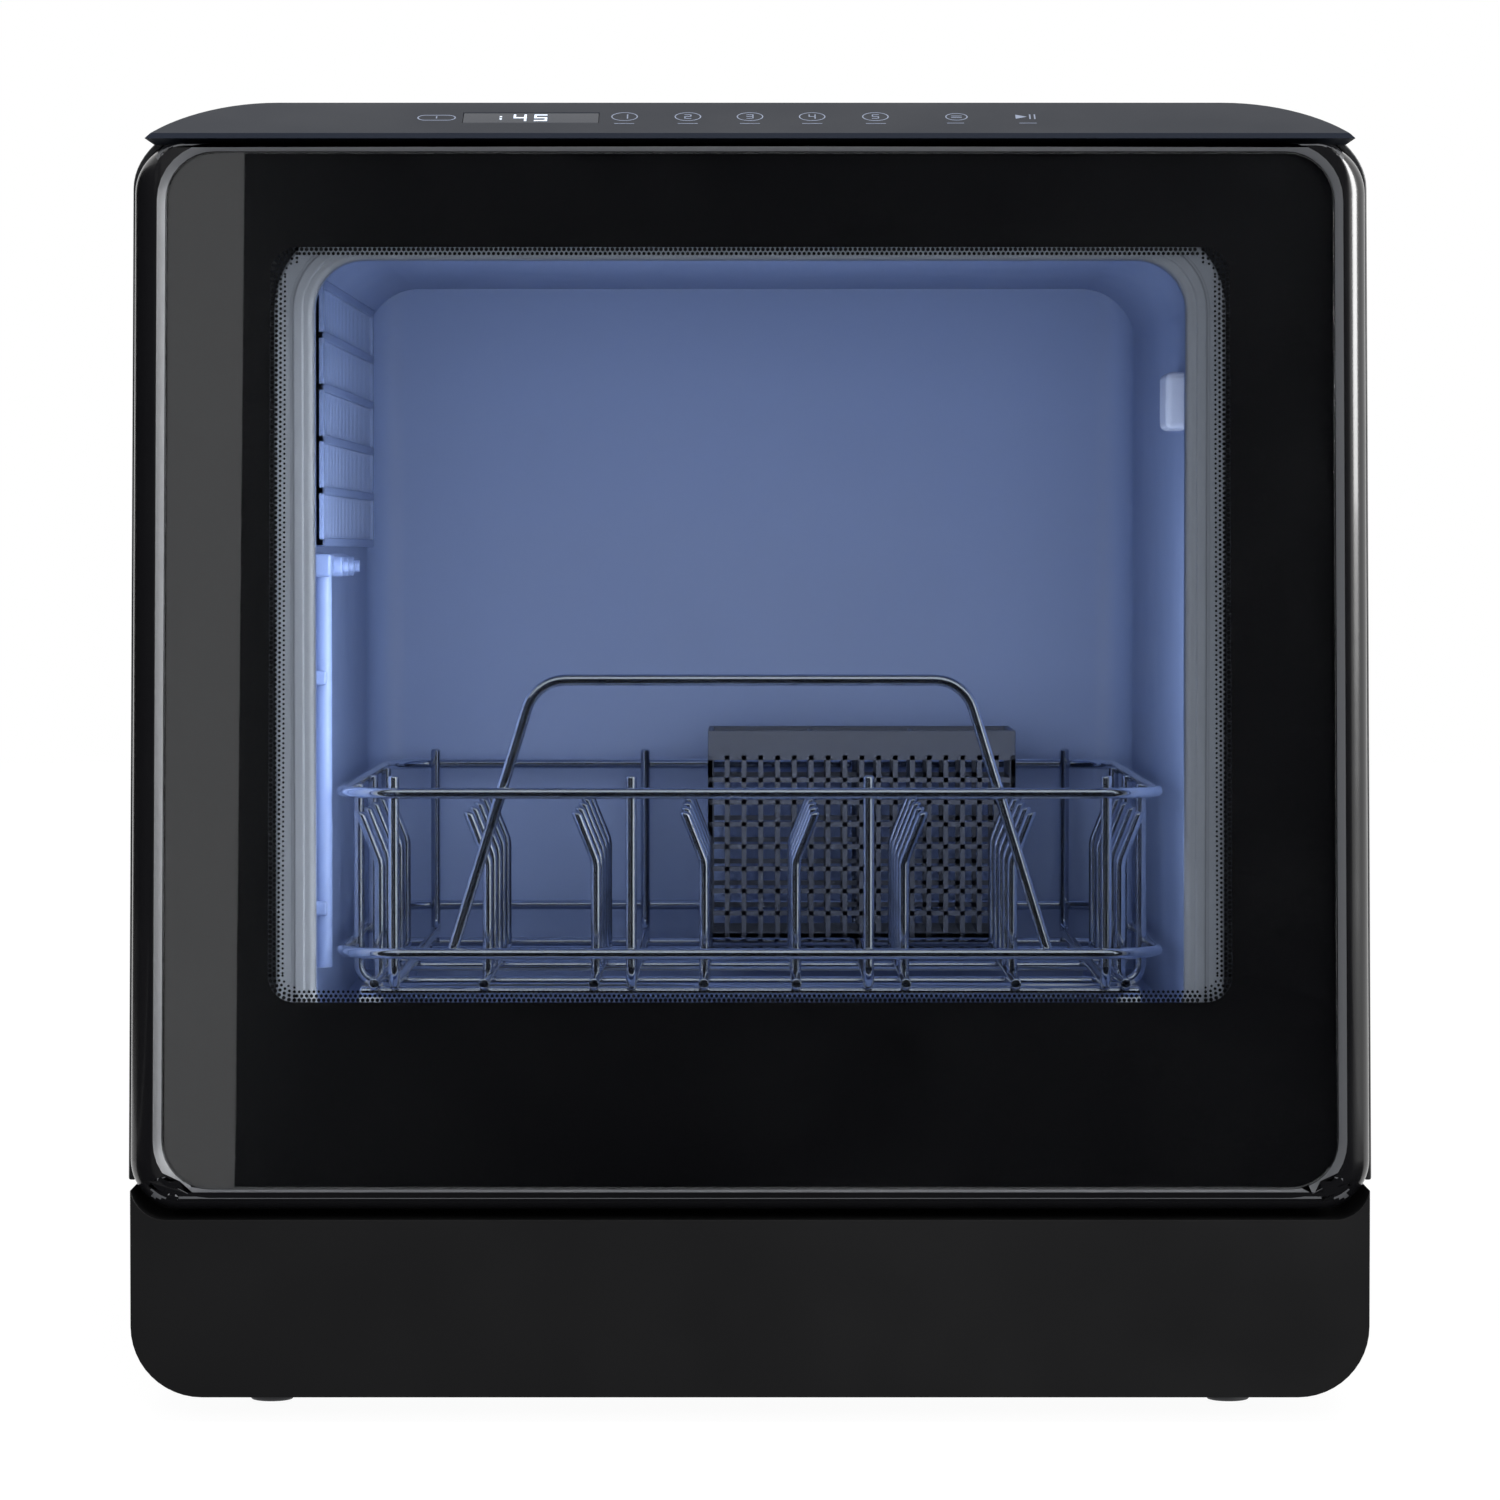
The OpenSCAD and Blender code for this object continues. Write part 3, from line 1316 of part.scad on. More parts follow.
// Wire basket
module rail_loop(z) {
    x = basket_half_w;
    r = rail_r;
    rod_x(wire_r, -x + r, x - r, basket_y0, z);
    rod_x(wire_r, -x + r, x - r, basket_y1, z);
    for (s = [-1, 1]) rod_y(wire_r, s * x, basket_y0 + r, basket_y1 - r, z);
    for (c = [[x - r, basket_y1 - r, 0], [-x + r, basket_y1 - r, 90], [-x + r, basket_y0 + r, 180],
        [x - r, basket_y0 + r, 270]])
        translate([c[0], c[1], z]) rotate([0, 0, c[2]]) rotate_extrude(angle = 90)
            translate([r, 0]) circle(wire_r);
}

weld = 0.5;
wire_bend = 6;
post_rise = 6;

// A wire bent up at both ends, drawn in the X and Z plane: half is its half length and top its ends' height
module bent_wire(half, z, top) {
    rod_x(wire_r, -half + wire_bend, half - wire_bend, 0, z);
    mirror_x() {
        translate([half - wire_bend, 0, z + wire_bend]) rotate([90, 0, 0]) rotate([0, 0, -90])
            elbow(wire_r, wire_bend);
        rod_z(wire_r, half, 0, z + wire_bend, top);
    }
}

module basket_frame() {
    in = 2 * wire_r - weld;
    side_y = [basket_y0 + 60, basket_y0 + 140, basket_y0 + 220];
    end_gap = in + wire_bend + wire_r;
    color("#b9bcc2") {
        rail_loop(low_z);
        rail_loop(top_z);
        for (x = post_x) translate([x, (basket_y0 + basket_y1) / 2, 0]) rotate([0, 0, 90])
            bent_wire((basket_y1 - basket_y0) / 2 - in, floor_z, top_z + post_rise);
        for (y = side_y) translate([0, y, 0])
            bent_wire(basket_half_w - in, floor_z - in, top_z + wire_r / 2);
        for (y = [basket_y0 + end_gap, basket_y1 - end_gap])
            rod_x(wire_r, -basket_half_w + 2 * in, basket_half_w - 2 * in, y, floor_z - in);
    }
}

// A straight run of tine wire between two points on one row
module tine_run(a, b) {
    hull() for (p = [a, b]) translate(p) cylinder(r = wire_r, h = 0.2, center = true, $fn = 8);
}

module basket_tines() {
    y0 = basket_y0 + 2 * wire_r - weld;
    y1 = tine_y0 + (tine_rows - 1) * tine_pitch + 8;
    bend_z = floor_z + tine_h * 0.7;
    lean = 7;
    color("#b9bcc2") for (x = tine_x) {
        side = x < 0 ? -1 : 1;
        translate([x, y0, floor_z]) rotate([-90, 0, 0]) cylinder(r = wire_r, h = y1 - y0, $fn = 8);
        for (i = [0 : tine_rows - 1]) {
            y = tine_y0 + i * tine_pitch;
            tine_run([x, y, floor_z], [x, y, bend_z]);
            tine_run([x, y, bend_z], [x + side * lean, y, floor_z + tine_h]);
        }
    }
}

// The handle's middle line: a round corner at the top of each sloping leg
handle_foot = 103;
handle_bend = 14;
bend_steps = 5;
function handle_side() = let (
    lean = atan2(handle_foot - handle_half_w, handle_z - low_z),
    drop = handle_bend * tan((90 - lean) / 2),
    x = handle_half_w - drop,
    z = handle_z - handle_bend
) concat([[handle_foot, low_z]], [for (i = [0 : bend_steps]) let (t = lean + i * (90 - lean) / bend_steps)
    [x + handle_bend * cos(t), z + handle_bend * sin(t)]]);

module basket_handle() {
    y = basket_y0 + 2 * wire_r - weld;
    side = handle_side();
    n = len(side);
    path = concat(side, [for (i = [n - 1 : -1 : 0]) [-side[i][0], side[i][1]]]);
    color("#b9bcc2") for (i = [0 : len(path) - 2]) hull() for (p = [path[i], path[i + 1]])
        translate([p[0], y, p[1]]) sphere(wire_r, $fn = 10);
}

glide_y = [basket_y0 + 60, basket_y0 + 220];
glide_w = 7;
glide_l = 24;
module basket_glides() {
    x0 = tub_w / 2 - ledge_w;
    z0 = ledge_top + 0.2;
    z1 = floor_z - 3 * wire_r + weld;
    r = (z1 - z0) / 2;
    color("#c9cbcc") mirror_x() for (y = glide_y) {
        block(x0, y - glide_l / 2 + r, z0, x0 + glide_w, y + glide_l / 2 - r, z1);
        for (e = [-1, 1]) rod_x(r, x0, x0 + glide_w, y + e * (glide_l / 2 - r), z0 + r);
    }
}

module cutlery_basket() {
    x0 = cutlery_x;
    x1 = cutlery_x + cutlery_w;
    y1 = basket_y1 - cutlery_gap;
    y0 = y1 - cutlery_d;
    z0 = floor_z + wire_r + seat_gap;
    z1 = z0 + cutlery_h;
    band = 10;
    cols = 5;
    depth_cols = 3;
    bar = 2;
    rows = 6;
    cell = (cutlery_w - 2 * cutlery_wall - bar) / cols;
    depth_cell = (cutlery_d - 2 * cutlery_wall - bar) / depth_cols;
    cell_h = (cutlery_h - band - 4) / rows;
    color("#6f7278") difference() {
        block(x0, y0, z0, x1, y1, z1);
        block(x0 + cutlery_wall, y0 + cutlery_wall, z0 + cutlery_wall, x1 - cutlery_wall, y1 - cutlery_wall,
            z1 + cut);
        for (i = [0 : cols - 1], k = [0 : rows - 1])
            block(x0 + cutlery_wall + bar + i * cell, y0 - cut, z0 + 4 + k * cell_h,
                x0 + cutlery_wall + (i + 1) * cell, y1 + cut, z0 + 4 + (k + 1) * cell_h - bar);
        for (j = [0 : depth_cols - 1], k = [0 : rows - 1])
            block(x0 - cut, y0 + cutlery_wall + bar + j * depth_cell, z0 + 4 + k * cell_h, x1 + cut,
                y0 + cutlery_wall + (j + 1) * depth_cell, z0 + 4 + (k + 1) * cell_h - bar);
        for (i = [0 : cols - 1]) block(x0 + cutlery_wall + bar + i * cell, y0 + 6, z0 - cut,
            x0 + cutlery_wall + (i + 1) * cell, y1 - 6, z0 + cutlery_wall + cut);
    }
}

casing();
rear_cover();
rear_screws();
base_shell();
feet();
front_fascia();
control_panel();
display_window();
control_board();
fill_lid();
fill_funnel();
tub();
tub_seal();
basket_ledges();
air_grille();
air_duct();
fan_housing();
fan_wheel();
fan_motor();
dry_heater();
lamp_lens();
nozzle_rail();
feed_pipe();
spray_hub();
spray_arm();
filter_plate();
filter_cup();
sump();
sump_hose();
wash_pump();
wash_impeller();
wash_motor();
spray_hose();
water_heater();
drain_pump();
drain_impeller();
drain_hose();
water_tank();
tank_hose();
inlet_valve();
cord_gland();
float();
float_switch();
power_board();
latch_housing();
latch_pawl();
latch_spring();
hinge_brackets();
hinge_pins();
door_frame();
door_glass();
glass_border();
door_liner();
inner_window();
latch_striker();
basket_frame();
basket_tines();
basket_handle();
basket_glides();
cutlery_basket();
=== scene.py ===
# %% [markdown]
# # A countertop dishwasher, dressed for a studio picture
# The construction comes from the frame: every node is already in its place, in metres, and this lesson adds
# what makes the object look real. Most of it is dark moulded plastic, glass and bright wire, so the work
# goes into soft edges, thin gaps and small differences of gloss. Sizes are in millimetres, and a tool that
# cuts right through reaches 5 mm past the surface. The first step loads the frame. The dressed object must
# not grow past it.

# %% Load the frame
import json
from math import atan2, cos, pi, radians, sin

import bpy
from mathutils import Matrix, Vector


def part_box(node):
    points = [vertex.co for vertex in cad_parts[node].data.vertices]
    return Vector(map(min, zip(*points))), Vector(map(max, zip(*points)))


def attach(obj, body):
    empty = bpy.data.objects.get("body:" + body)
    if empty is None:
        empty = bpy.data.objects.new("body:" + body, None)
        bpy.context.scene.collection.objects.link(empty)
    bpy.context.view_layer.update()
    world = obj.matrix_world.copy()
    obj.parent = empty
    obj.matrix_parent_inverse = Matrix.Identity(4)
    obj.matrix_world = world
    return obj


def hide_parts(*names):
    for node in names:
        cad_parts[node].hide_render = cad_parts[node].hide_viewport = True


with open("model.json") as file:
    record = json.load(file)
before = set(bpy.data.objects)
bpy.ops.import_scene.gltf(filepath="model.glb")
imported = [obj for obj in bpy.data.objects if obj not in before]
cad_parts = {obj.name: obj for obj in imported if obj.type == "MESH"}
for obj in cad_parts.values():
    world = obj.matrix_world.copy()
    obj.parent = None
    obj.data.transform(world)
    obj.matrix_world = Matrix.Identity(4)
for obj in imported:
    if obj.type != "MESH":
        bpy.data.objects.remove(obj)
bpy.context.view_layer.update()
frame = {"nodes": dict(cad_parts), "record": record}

MM = 0.001
PAST = 5


# %% [markdown]
# ## Working by hand, in code
# Everything new starts as a primitive at its real size and is then shaped with the same edit-mode tools
# that a modeller uses. An operator works on all that is selected, so each helper first lets go of
# everything, and faces and edges are picked by their place. Sizes are in millimetres, as on a drawing, and
# become metres in one place.

# %% Select and measure
def rest():
    """Leaves edit mode and lets go of everything."""
    if bpy.context.object and bpy.context.object.mode == "EDIT":
        bpy.ops.object.mode_set(mode="OBJECT")
    bpy.ops.object.select_all(action="DESELECT")


def hold(*pieces):
    """Selects these pieces, the first one active."""
    rest()
    for piece in pieces:
        piece.select_set(True)
    bpy.context.view_layer.objects.active = pieces[0]


def choose(piece, kind, test):
    """Edit mode with only the faces, edges or points that pass the test of (place in mm, direction)."""
    hold(piece)
    mesh = piece.data
    for items in (mesh.vertices, mesh.edges, mesh.polygons):
        items.foreach_set("select", [False] * len(items))
    if kind == "FACE":
        for face in mesh.polygons:
            face.select = test(face.center / MM, face.normal)
    elif kind == "EDGE":
        for edge in mesh.edges:
            a, b = (mesh.vertices[i].co for i in edge.vertices)
            edge.select = test((a + b) / (2 * MM), (b - a).normalized())
    else:
        for point in mesh.vertices:
            point.select = test(point.co / MM, point.normal)
    bpy.context.tool_settings.mesh_select_mode = (kind == "VERT", kind == "EDGE", kind == "FACE")
    bpy.ops.object.mode_set(mode="EDIT")


def node_box(node):
    """The lowest and highest corners of a CAD node, in millimetres."""
    low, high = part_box(node)
    return low / MM, high / MM


# %% [markdown]
# ## Blocks, plates and rings
# Nearly every part of a kitchen machine is a box with its corners eased. A plate is a box whose four long
# edges are bevelled to a round corner, and a ring is a plate with a smaller plate cut out of it.

# %% Basic solids
def block(name, low, high):
    """A box between two corners."""
    rest()
    low, high = Vector(low) * MM, Vector(high) * MM
    bpy.ops.mesh.primitive_cube_add(size=1, location=(low + high) / 2)
    piece = bpy.context.object
    piece.name = piece.data.name = name
    piece.scale = high - low
    bpy.ops.object.transform_apply()
    return piece


def plate(name, outline, y0, y1, steps=8):
    """A flat plate facing the front. The outline is x0, z0, x1, z1 and the corner radius."""
    x0, z0, x1, z1, radius = outline
    piece = block(name, (x0, y0, z0), (x1, y1, z1))
    choose(piece, "EDGE", lambda at, along: abs(along.y) > 0.9)
    bpy.ops.mesh.bevel(offset=radius * MM, segments=steps, affect="EDGES", clamp_overlap=False)
    rest()
    return piece


def join(name, pieces):
    """Several pieces as one."""
    hold(*pieces)
    if len(pieces) > 1:
        bpy.ops.object.join()
    whole = bpy.context.object
    whole.name = whole.data.name = name
    rest()
    return whole


def ring(name, outer, inner, y0, y1, steps=10):
    """A plate with a window cut through it."""
    return carve(plate(name, outer, y0, y1, steps), plate(name + "_hole", inner, y0 - 2, y1 + 2, steps))


def soften(piece, width, test, steps=3):
    """Bevels the edges that pass the test."""
    choose(piece, "EDGE", test)
    bpy.ops.mesh.bevel(offset=width * MM, segments=steps, affect="EDGES")
    rest()
    return piece


def ease(piece, width, steps=2, angle=40):
    """Rounds every sharp edge with a Bevel modifier, which is then applied."""
    hold(piece)
    bevel = piece.modifiers.new("Ease", "BEVEL")
    bevel.width, bevel.segments = width * MM, steps
    bevel.limit_method, bevel.angle_limit = "ANGLE", radians(angle)
    bpy.ops.object.modifier_apply(modifier=bevel.name)
    rest()
    return piece


def carve(piece, tool):
    """Takes the tool's shape out of the piece with an applied Boolean."""
    hold(piece)
    cut = piece.modifiers.new("Carve", "BOOLEAN")
    cut.operation, cut.solver, cut.object = "DIFFERENCE", "EXACT", tool
    bpy.ops.object.modifier_apply(modifier=cut.name)
    bpy.data.objects.remove(tool)
    rest()
    return piece


def repeat(piece, count, step):
    """An applied Array: count copies, each moved on by step."""
    hold(piece)
    row = piece.modifiers.new("Row", "ARRAY")
    row.count, row.use_relative_offset, row.use_constant_offset = count, False, True
    row.constant_offset_displace = Vector(step) * MM
    bpy.ops.object.modifier_apply(modifier=row.name)
    rest()
    return piece


def rod(name, start, end, radius, sides=24):
    """A round bar between two points."""
    rest()
    start, end = Vector(start) * MM, Vector(end) * MM
    turn = (end - start).to_track_quat("Z", "Y").to_euler()
    bpy.ops.mesh.primitive_cylinder_add(vertices=sides, radius=radius * MM, depth=(end - start).length,
        location=(start + end) / 2, rotation=turn)
    piece = bpy.context.object
    piece.name = piece.data.name = name
    bpy.ops.object.transform_apply()
    return piece


print("helpers ready: block, plate, ring, rod")


# %% [markdown]
# ## Finishes
# Injection-moulded plastic is never one even colour. It has a fine spark-eroded grain, faint flow in its
# gloss and a trace of handling. Noise on Object coordinates gives all three, at real scales, without any
# picture. What is the same all over, such as the index of refraction, sits on the shader's own socket.

# %% Material helpers
def srgb(code):
    """A colour as a picture editor writes it, such as 3c404b, in the linear numbers that the shader wants."""
    parts = [int(code[i:i + 2], 16) / 255 for i in (0, 2, 4)]
    return [c / 12.92 if c <= 0.04045 else ((c + 0.055) / 1.055) ** 2.4 for c in parts] + [1.0]


def shader(name):
    """A new material with its Principled shader."""
    material = bpy.data.materials.new(name)
    material.use_nodes = True
    return material, material.node_tree, material.node_tree.nodes["Principled BSDF"]


def noise(tree, scale, detail=3.0, stretch=(1, 1, 1)):
    """Noise on Object coordinates: scale is in waves per metre, stretch makes it longer one way."""
    place = tree.nodes.new("ShaderNodeTexCoord")
    mapping = tree.nodes.new("ShaderNodeMapping")
    texture = tree.nodes.new("ShaderNodeTexNoise")
    mapping.inputs["Scale"].default_value = stretch
    texture.inputs["Scale"].default_value = scale
    texture.inputs["Detail"].default_value = detail
    tree.links.new(place.outputs["Object"], mapping.inputs["Vector"])
    tree.links.new(mapping.outputs["Vector"], texture.inputs["Vector"])
    return texture.outputs["Fac"]


def spread(tree, source, low, high):
    """Turns noise into a range of numbers."""
    span = tree.nodes.new("ShaderNodeMapRange")
    span.inputs["From Min"].default_value, span.inputs["From Max"].default_value = 0.3, 0.7
    span.inputs["To Min"].default_value, span.inputs["To Max"].default_value = low, high
    tree.links.new(source, span.inputs["Value"])
    return span.outputs["Result"]


def tint(tree, source, dark, light):
    """Turns noise into a colour between two."""
    mix = tree.nodes.new("ShaderNodeMix")
    mix.data_type = "RGBA"
    mix.inputs["A"].default_value, mix.inputs["B"].default_value = dark, light
    tree.links.new(source, mix.inputs["Factor"])
    return mix.outputs["Result"]


def relief(tree, base, source, strength, depth):
    """A bump of the given depth in millimetres."""
    bump = tree.nodes.new("ShaderNodeBump")
    bump.inputs["Strength"].default_value = strength
    bump.inputs["Distance"].default_value = depth * MM
    tree.links.new(source, bump.inputs["Height"])
    tree.links.new(bump.outputs["Normal"], base.inputs["Normal"])


def shade(colour, factor):
    """A colour made lighter or darker."""
    return [min(1.0, c * factor) for c in colour[:3]] + [1.0]


def plastic(name, code, gloss=0.35, swing=0.06, grain=2600, depth=0.02, coat=0.0, shine=0.5):
    """Moulded plastic: gloss is the roughness, grain the number of texture waves per metre."""
    material, tree, base = shader(name)
    colour = srgb(code)
    cloud = tint(tree, noise(tree, 9, 2), shade(colour, 1 - swing), shade(colour, 1 + swing))
    tree.links.new(cloud, base.inputs["Base Color"])
    tree.links.new(spread(tree, noise(tree, 26, 4), gloss - 0.03, gloss + 0.03), base.inputs["Roughness"])
    relief(tree, base, noise(tree, grain, 2), 0.35, depth)
    base.inputs["Specular IOR Level"].default_value = shine
    base.inputs["Coat Weight"].default_value = coat
    base.inputs["Coat Roughness"].default_value = 0.06
    return material


def metal(name, code, gloss=0.2, swing=0.05, stretch=(1, 1, 1), scratch=700, depth=0.01):
    """Metal, with fine marks that run along the short side of the stretch."""
    material, tree, base = shader(name)
    colour = srgb(code)
    base.inputs["Metallic"].default_value = 1.0
    tree.links.new(tint(tree, noise(tree, 30, 3), shade(colour, 1 - swing), shade(colour, 1 + swing)),
        base.inputs["Base Color"])
    tree.links.new(spread(tree, noise(tree, scratch / 3, 3, stretch), gloss * 0.8, gloss * 1.25),
        base.inputs["Roughness"])
    relief(tree, base, noise(tree, scratch, 3, stretch), 0.3, depth)
    return material


def clear(name, code, gloss=0.0, ior=1.5):
    """Glass: a trace of unevenness in its gloss, as on float glass that has been wiped."""
    material, tree, base = shader(name)
    colour = srgb(code)
    base.inputs["Transmission Weight"].default_value = 1.0
    base.inputs["IOR"].default_value = ior
    tree.links.new(tint(tree, noise(tree, 5, 2), shade(colour, 0.985), colour), base.inputs["Base Color"])
    tree.links.new(spread(tree, noise(tree, 14, 3), gloss, gloss + 0.012), base.inputs["Roughness"])
    return material


print("material helpers ready")


# %% [markdown]
# The finishes are named for this machine's own parts. The door and the base are a satin black, the sloping
# panel is a dark slate film, the tub is a cool blue-grey polypropylene, and the wire is bright chrome.

# %% The machine's finishes
FINISH = {
    "casing_shell": plastic("satin_black_steel", "1d1e21", 0.38, coat=0.1, grain=1800),
    "cover_plastic": plastic("grained_black_cover", "1b1c1e", 0.5, grain=1500, depth=0.04),
    "base_plastic": plastic("satin_black_base", "0f0f10", 0.42, grain=2200, shine=0.35),
    "panel_slate": plastic("slate_touch_film", "20242d", 0.4, swing=0.03, grain=3000, depth=0.008,
        shine=0.08),
    "display_lens": plastic("smoked_display", "30343d", 0.2, grain=900, depth=0.004, shine=0.1),
    "fascia_plastic": plastic("dark_fascia", "232428", 0.45),
    "door_plastic": plastic("gloss_black_frame", "0c0c0e", 0.24, coat=0.3, grain=1400, depth=0.006),
    "liner_plastic": plastic("grey_door_liner", "36383d", 0.4),
    "black_enamel": plastic("fired_black_enamel", "050506", 0.22, grain=900, depth=0.004),
    "seal_rubber": plastic("grey_seal_rubber", "85888f", 0.55, swing=0.05, grain=1200, depth=0.03),
    "tub_blue": plastic("blue_grey_tub", "6f7fa6", 0.42, swing=0.035, grain=1400, depth=0.015),
    "trim_blue": plastic("blue_grey_trim", "7384ad", 0.38, swing=0.04),
    "lamp_white": plastic("milky_lamp_lens", "b9c2dc", 0.35, swing=0.03, grain=700),
    "glide_plastic": plastic("pale_nylon", "b8babb", 0.45),
    # The cutlery basket is pale grey plastic; this darker grey is painted shade, the look it has in the tub's
    # shade.
    "cutlery_plastic": plastic("cutlery_basket_painted_shade", "474b58", 0.42),
    "arm_plastic": plastic("grey_spray_arm", "7b7f86", 0.4),
    "pump_plastic": plastic("black_pump_body", "2b2d32", 0.5, grain=900, depth=0.05),
    "rotor_plastic": plastic("grey_rotor", "44484f", 0.45),
    "hose_rubber": plastic("black_hose_rubber", "222326", 0.65, grain=800, depth=0.06),
    "tank_plastic": plastic("milky_water_tank", "c6cdd3", 0.4, swing=0.04, grain=500, depth=0.03),
    "lid_plastic": plastic("black_fill_lid", "1f2023", 0.42, grain=1800),
    "board_green": plastic("green_circuit_board", "24553a", 0.35, swing=0.12, grain=300, depth=0.05),
    "heater_ceramic": plastic("tan_heater_ceramic", "a89878", 0.7, swing=0.12, grain=500, depth=0.08),
    "wire_chrome": metal("bright_chrome_wire", "d6d9de", 0.09, scratch=400, depth=0.003),
    "bright_steel": metal("bright_steel", "b9bbbf", 0.22, stretch=(1, 1, 8)),
    "satin_steel": metal("brushed_steel", "9b9da1", 0.34, stretch=(1, 14, 1), scratch=900, depth=0.015),
    "motor_steel": metal("zinc_motor_case", "74777c", 0.42, swing=0.12, scratch=300, depth=0.03),
    "smoked_glass": clear("door_glass_clear", "eef1f4"),
    "clear_pane": clear("inner_pane_clear", "f3f6f8"),
}
LIT = plastic("lit_digits", "c8d4e6", 0.4, swing=0.05, grain=900, depth=0.004)
LIT.node_tree.nodes["Principled BSDF"].inputs["Emission Color"].default_value = srgb("dfe8f5")
LIT.node_tree.nodes["Principled BSDF"].inputs["Emission Strength"].default_value = 0.8
BEZEL = plastic("satin_grey_bezel", "4a4b4e", 0.5, swing=0.04, grain=2400, depth=0.01)
PRINT = plastic("white_print", "8d97ad", 0.5, swing=0.05, grain=1200, depth=0.004)
print(len(FINISH), "finishes")


# %% [markdown]
# A finished piece gets its finish, rides on the body that carries it, and stands for the CAD nodes that it
# replaces. Smooth shading stops at real corners, so the angle is part of the finish.

# %% Finish a piece
def finished(piece, body, slot, replaces=(), angle=35, material=None):
    """Shading, material and body of a new piece, whose finish the slot picks."""
    hold(piece)
    bpy.ops.object.shade_smooth_by_angle(angle=radians(angle))
    weigh = piece.modifiers.new("Weigh", "WEIGHTED_NORMAL")
    weigh.keep_sharp = True
    bpy.ops.object.modifier_apply(modifier=weigh.name)
    if not len(piece.data.materials) > 1:
        piece.data.materials.clear()
        piece.data.materials.append(material or FINISH[slot])
    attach(piece, body)
    if replaces:
        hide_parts(*replaces)
    rest()
    print(f"{piece.name}: {len(piece.data.polygons)} faces, rides on {body}")
    return piece


# %% [markdown]
# ## The draft of the upper body
# Seen from the front, the door and the casing are a little narrower at the top than at the bottom: about 3
# mm on each side. Moulded and pressed shells are often made so, and the eye notices it. A lattice could do
# this, but moving each point in proportion to its height is simpler and exact.

# %% Draft
DRAFT_FROM = 79.0
DRAFT_RATE = 0.0129 / 333


def draft(piece, beyond=0):
    """Draws a piece in towards the middle plane as it rises. Points nearer to the plane than beyond stay."""
    for point in piece.data.vertices:
        rise = max(0.0, point.co.z / MM - DRAFT_FROM)
        if abs(point.co.x) / MM >= beyond:
            point.co.x *= 1 - DRAFT_RATE * rise
    return piece


print("draft at the top:", round(213 * DRAFT_RATE * (447 - DRAFT_FROM), 1), "mm each side")


# %% [markdown]
# ## The door's frame
# The frame is one moulding: a shell with a round corner, edges that roll away all round the front, a
# shallow seat for the glass and a satin ring that slopes down to it. The roll could be swept as a profile.
# A bevel does the same on the rounded plate. Along the top the roll is narrow, so its points are drawn out
# towards the edge there, and the pockets are then carved out.

# %% Door frame
door_low, door_high = node_box("door_frame")
glass_low, glass_high = node_box("door_glass")
liner_low, liner_high = node_box("door_liner")
FRONT = door_low.y
BACK = door_high.y
DOOR = (door_low.x, door_low.z, door_high.x, door_high.z, 17)
ROLL = 7.6
RING = 2.6
GLASS_GAP = 0.5


def grown(outline, by):
    """An outline made larger all round."""
    x0, z0, x1, z1, radius = outline
    return x0 - by, z0 - by, x1 + by, z1 + by, radius + by


GLASS = (glass_low.x, glass_low.z, glass_high.x, glass_high.z, 16)
door = plate("door_surround", DOOR, FRONT, BACK, 14)
soften(door, ROLL, lambda at, along: abs(at.y - FRONT) < 0.01 and abs(along.y) < 0.1, 10)
corner_x, corner_z, corner_r = DOOR[2] - DOOR[4], DOOR[3] - DOOR[4], DOOR[4]
TOP_SHARE = 0.15
for point in door.data.vertices:
    at = point.co / MM
    if at.z > corner_z and at.y < FRONT + ROLL + 0.1:
        arm = Vector((max(0.0, abs(at.x) - corner_x), at.z - corner_z))
        reach = arm.length
        keep = 1 - (1 - TOP_SHARE) * (arm.y / reach) ** 2
        arm *= (corner_r - (corner_r - reach) * keep) / reach
        if abs(at.x) > corner_x:
            point.co.x = (1 if at.x > 0 else -1) * (corner_x + arm.x) * MM
        point.co.z = (corner_z + arm.y) * MM
soften(door, 1.2, lambda at, along: abs(at.y - BACK) < 0.01 and abs(along.y) < 0.1 and at.z > 120)
print("door frame blank:", len(door.data.polygons), "faces")


# %% [markdown]
# The lower rear edge is round about the hinge's axis, so that it clears the casing as the door swings. The
# seat for the glass, the hollow between the panes and the liner's pocket go right through, and two notches
# leave room for the hinge lugs.

# %% Door frame: pockets
HINGE = Vector((0, -203, 93))
HINGE_R = 21
LUG_X = 160
LUG_W = 12
LUG_ROOM = 7.6
carve(door, plate("seat", grown(GLASS, GLASS_GAP), FRONT - PAST, glass_high.y + 0.3))
HOLLOW = (-192, 108, 192, 420.5, 10)
carve(door, plate("hollow", HOLLOW, FRONT - PAST, BACK + PAST))
POCKET_GAP = 0.2
POCKET = (liner_low.x - POCKET_GAP, liner_low.z - POCKET_GAP, liner_high.x + POCKET_GAP,
    liner_high.z + POCKET_GAP, 12)
carve(door, plate("liner_pocket", POCKET, liner_low.y, BACK + PAST))
corner = block("corner", (-230, HINGE.y, HINGE.z - HINGE_R - PAST), (230, BACK + PAST, HINGE.z))
carve(corner, rod("knuckle", (-240, HINGE.y, HINGE.z), (240, HINGE.y, HINGE.z), HINGE_R, 64))
carve(door, corner)
for side in (-1, 1):
    x0 = side * (LUG_X + LUG_W / 2) - LUG_W / 2 - 0.6
    x1 = x0 + LUG_W + 1.2
    carve(door, rod("lug_room", (x0, HINGE.y, HINGE.z), (x1, HINGE.y, HINGE.z), LUG_ROOM, 32))
    carve(door, block("lug_slot", (x0, HINGE.y - LUG_ROOM, HINGE.z - HINGE_R - PAST), (x1, HINGE.y, HINGE.z)))
    way = (x0, HINGE.y - 0.01, HINGE.z - HINGE_R - PAST)
    carve(door, block("lug_way", way, (x1, BACK + PAST, HINGE.z + LUG_ROOM)))
SCOOP_W = 126
SCOOP_H = 1.5
scoop_r = (SCOOP_W ** 2 / 4 + SCOOP_H ** 2) / (2 * SCOOP_H)
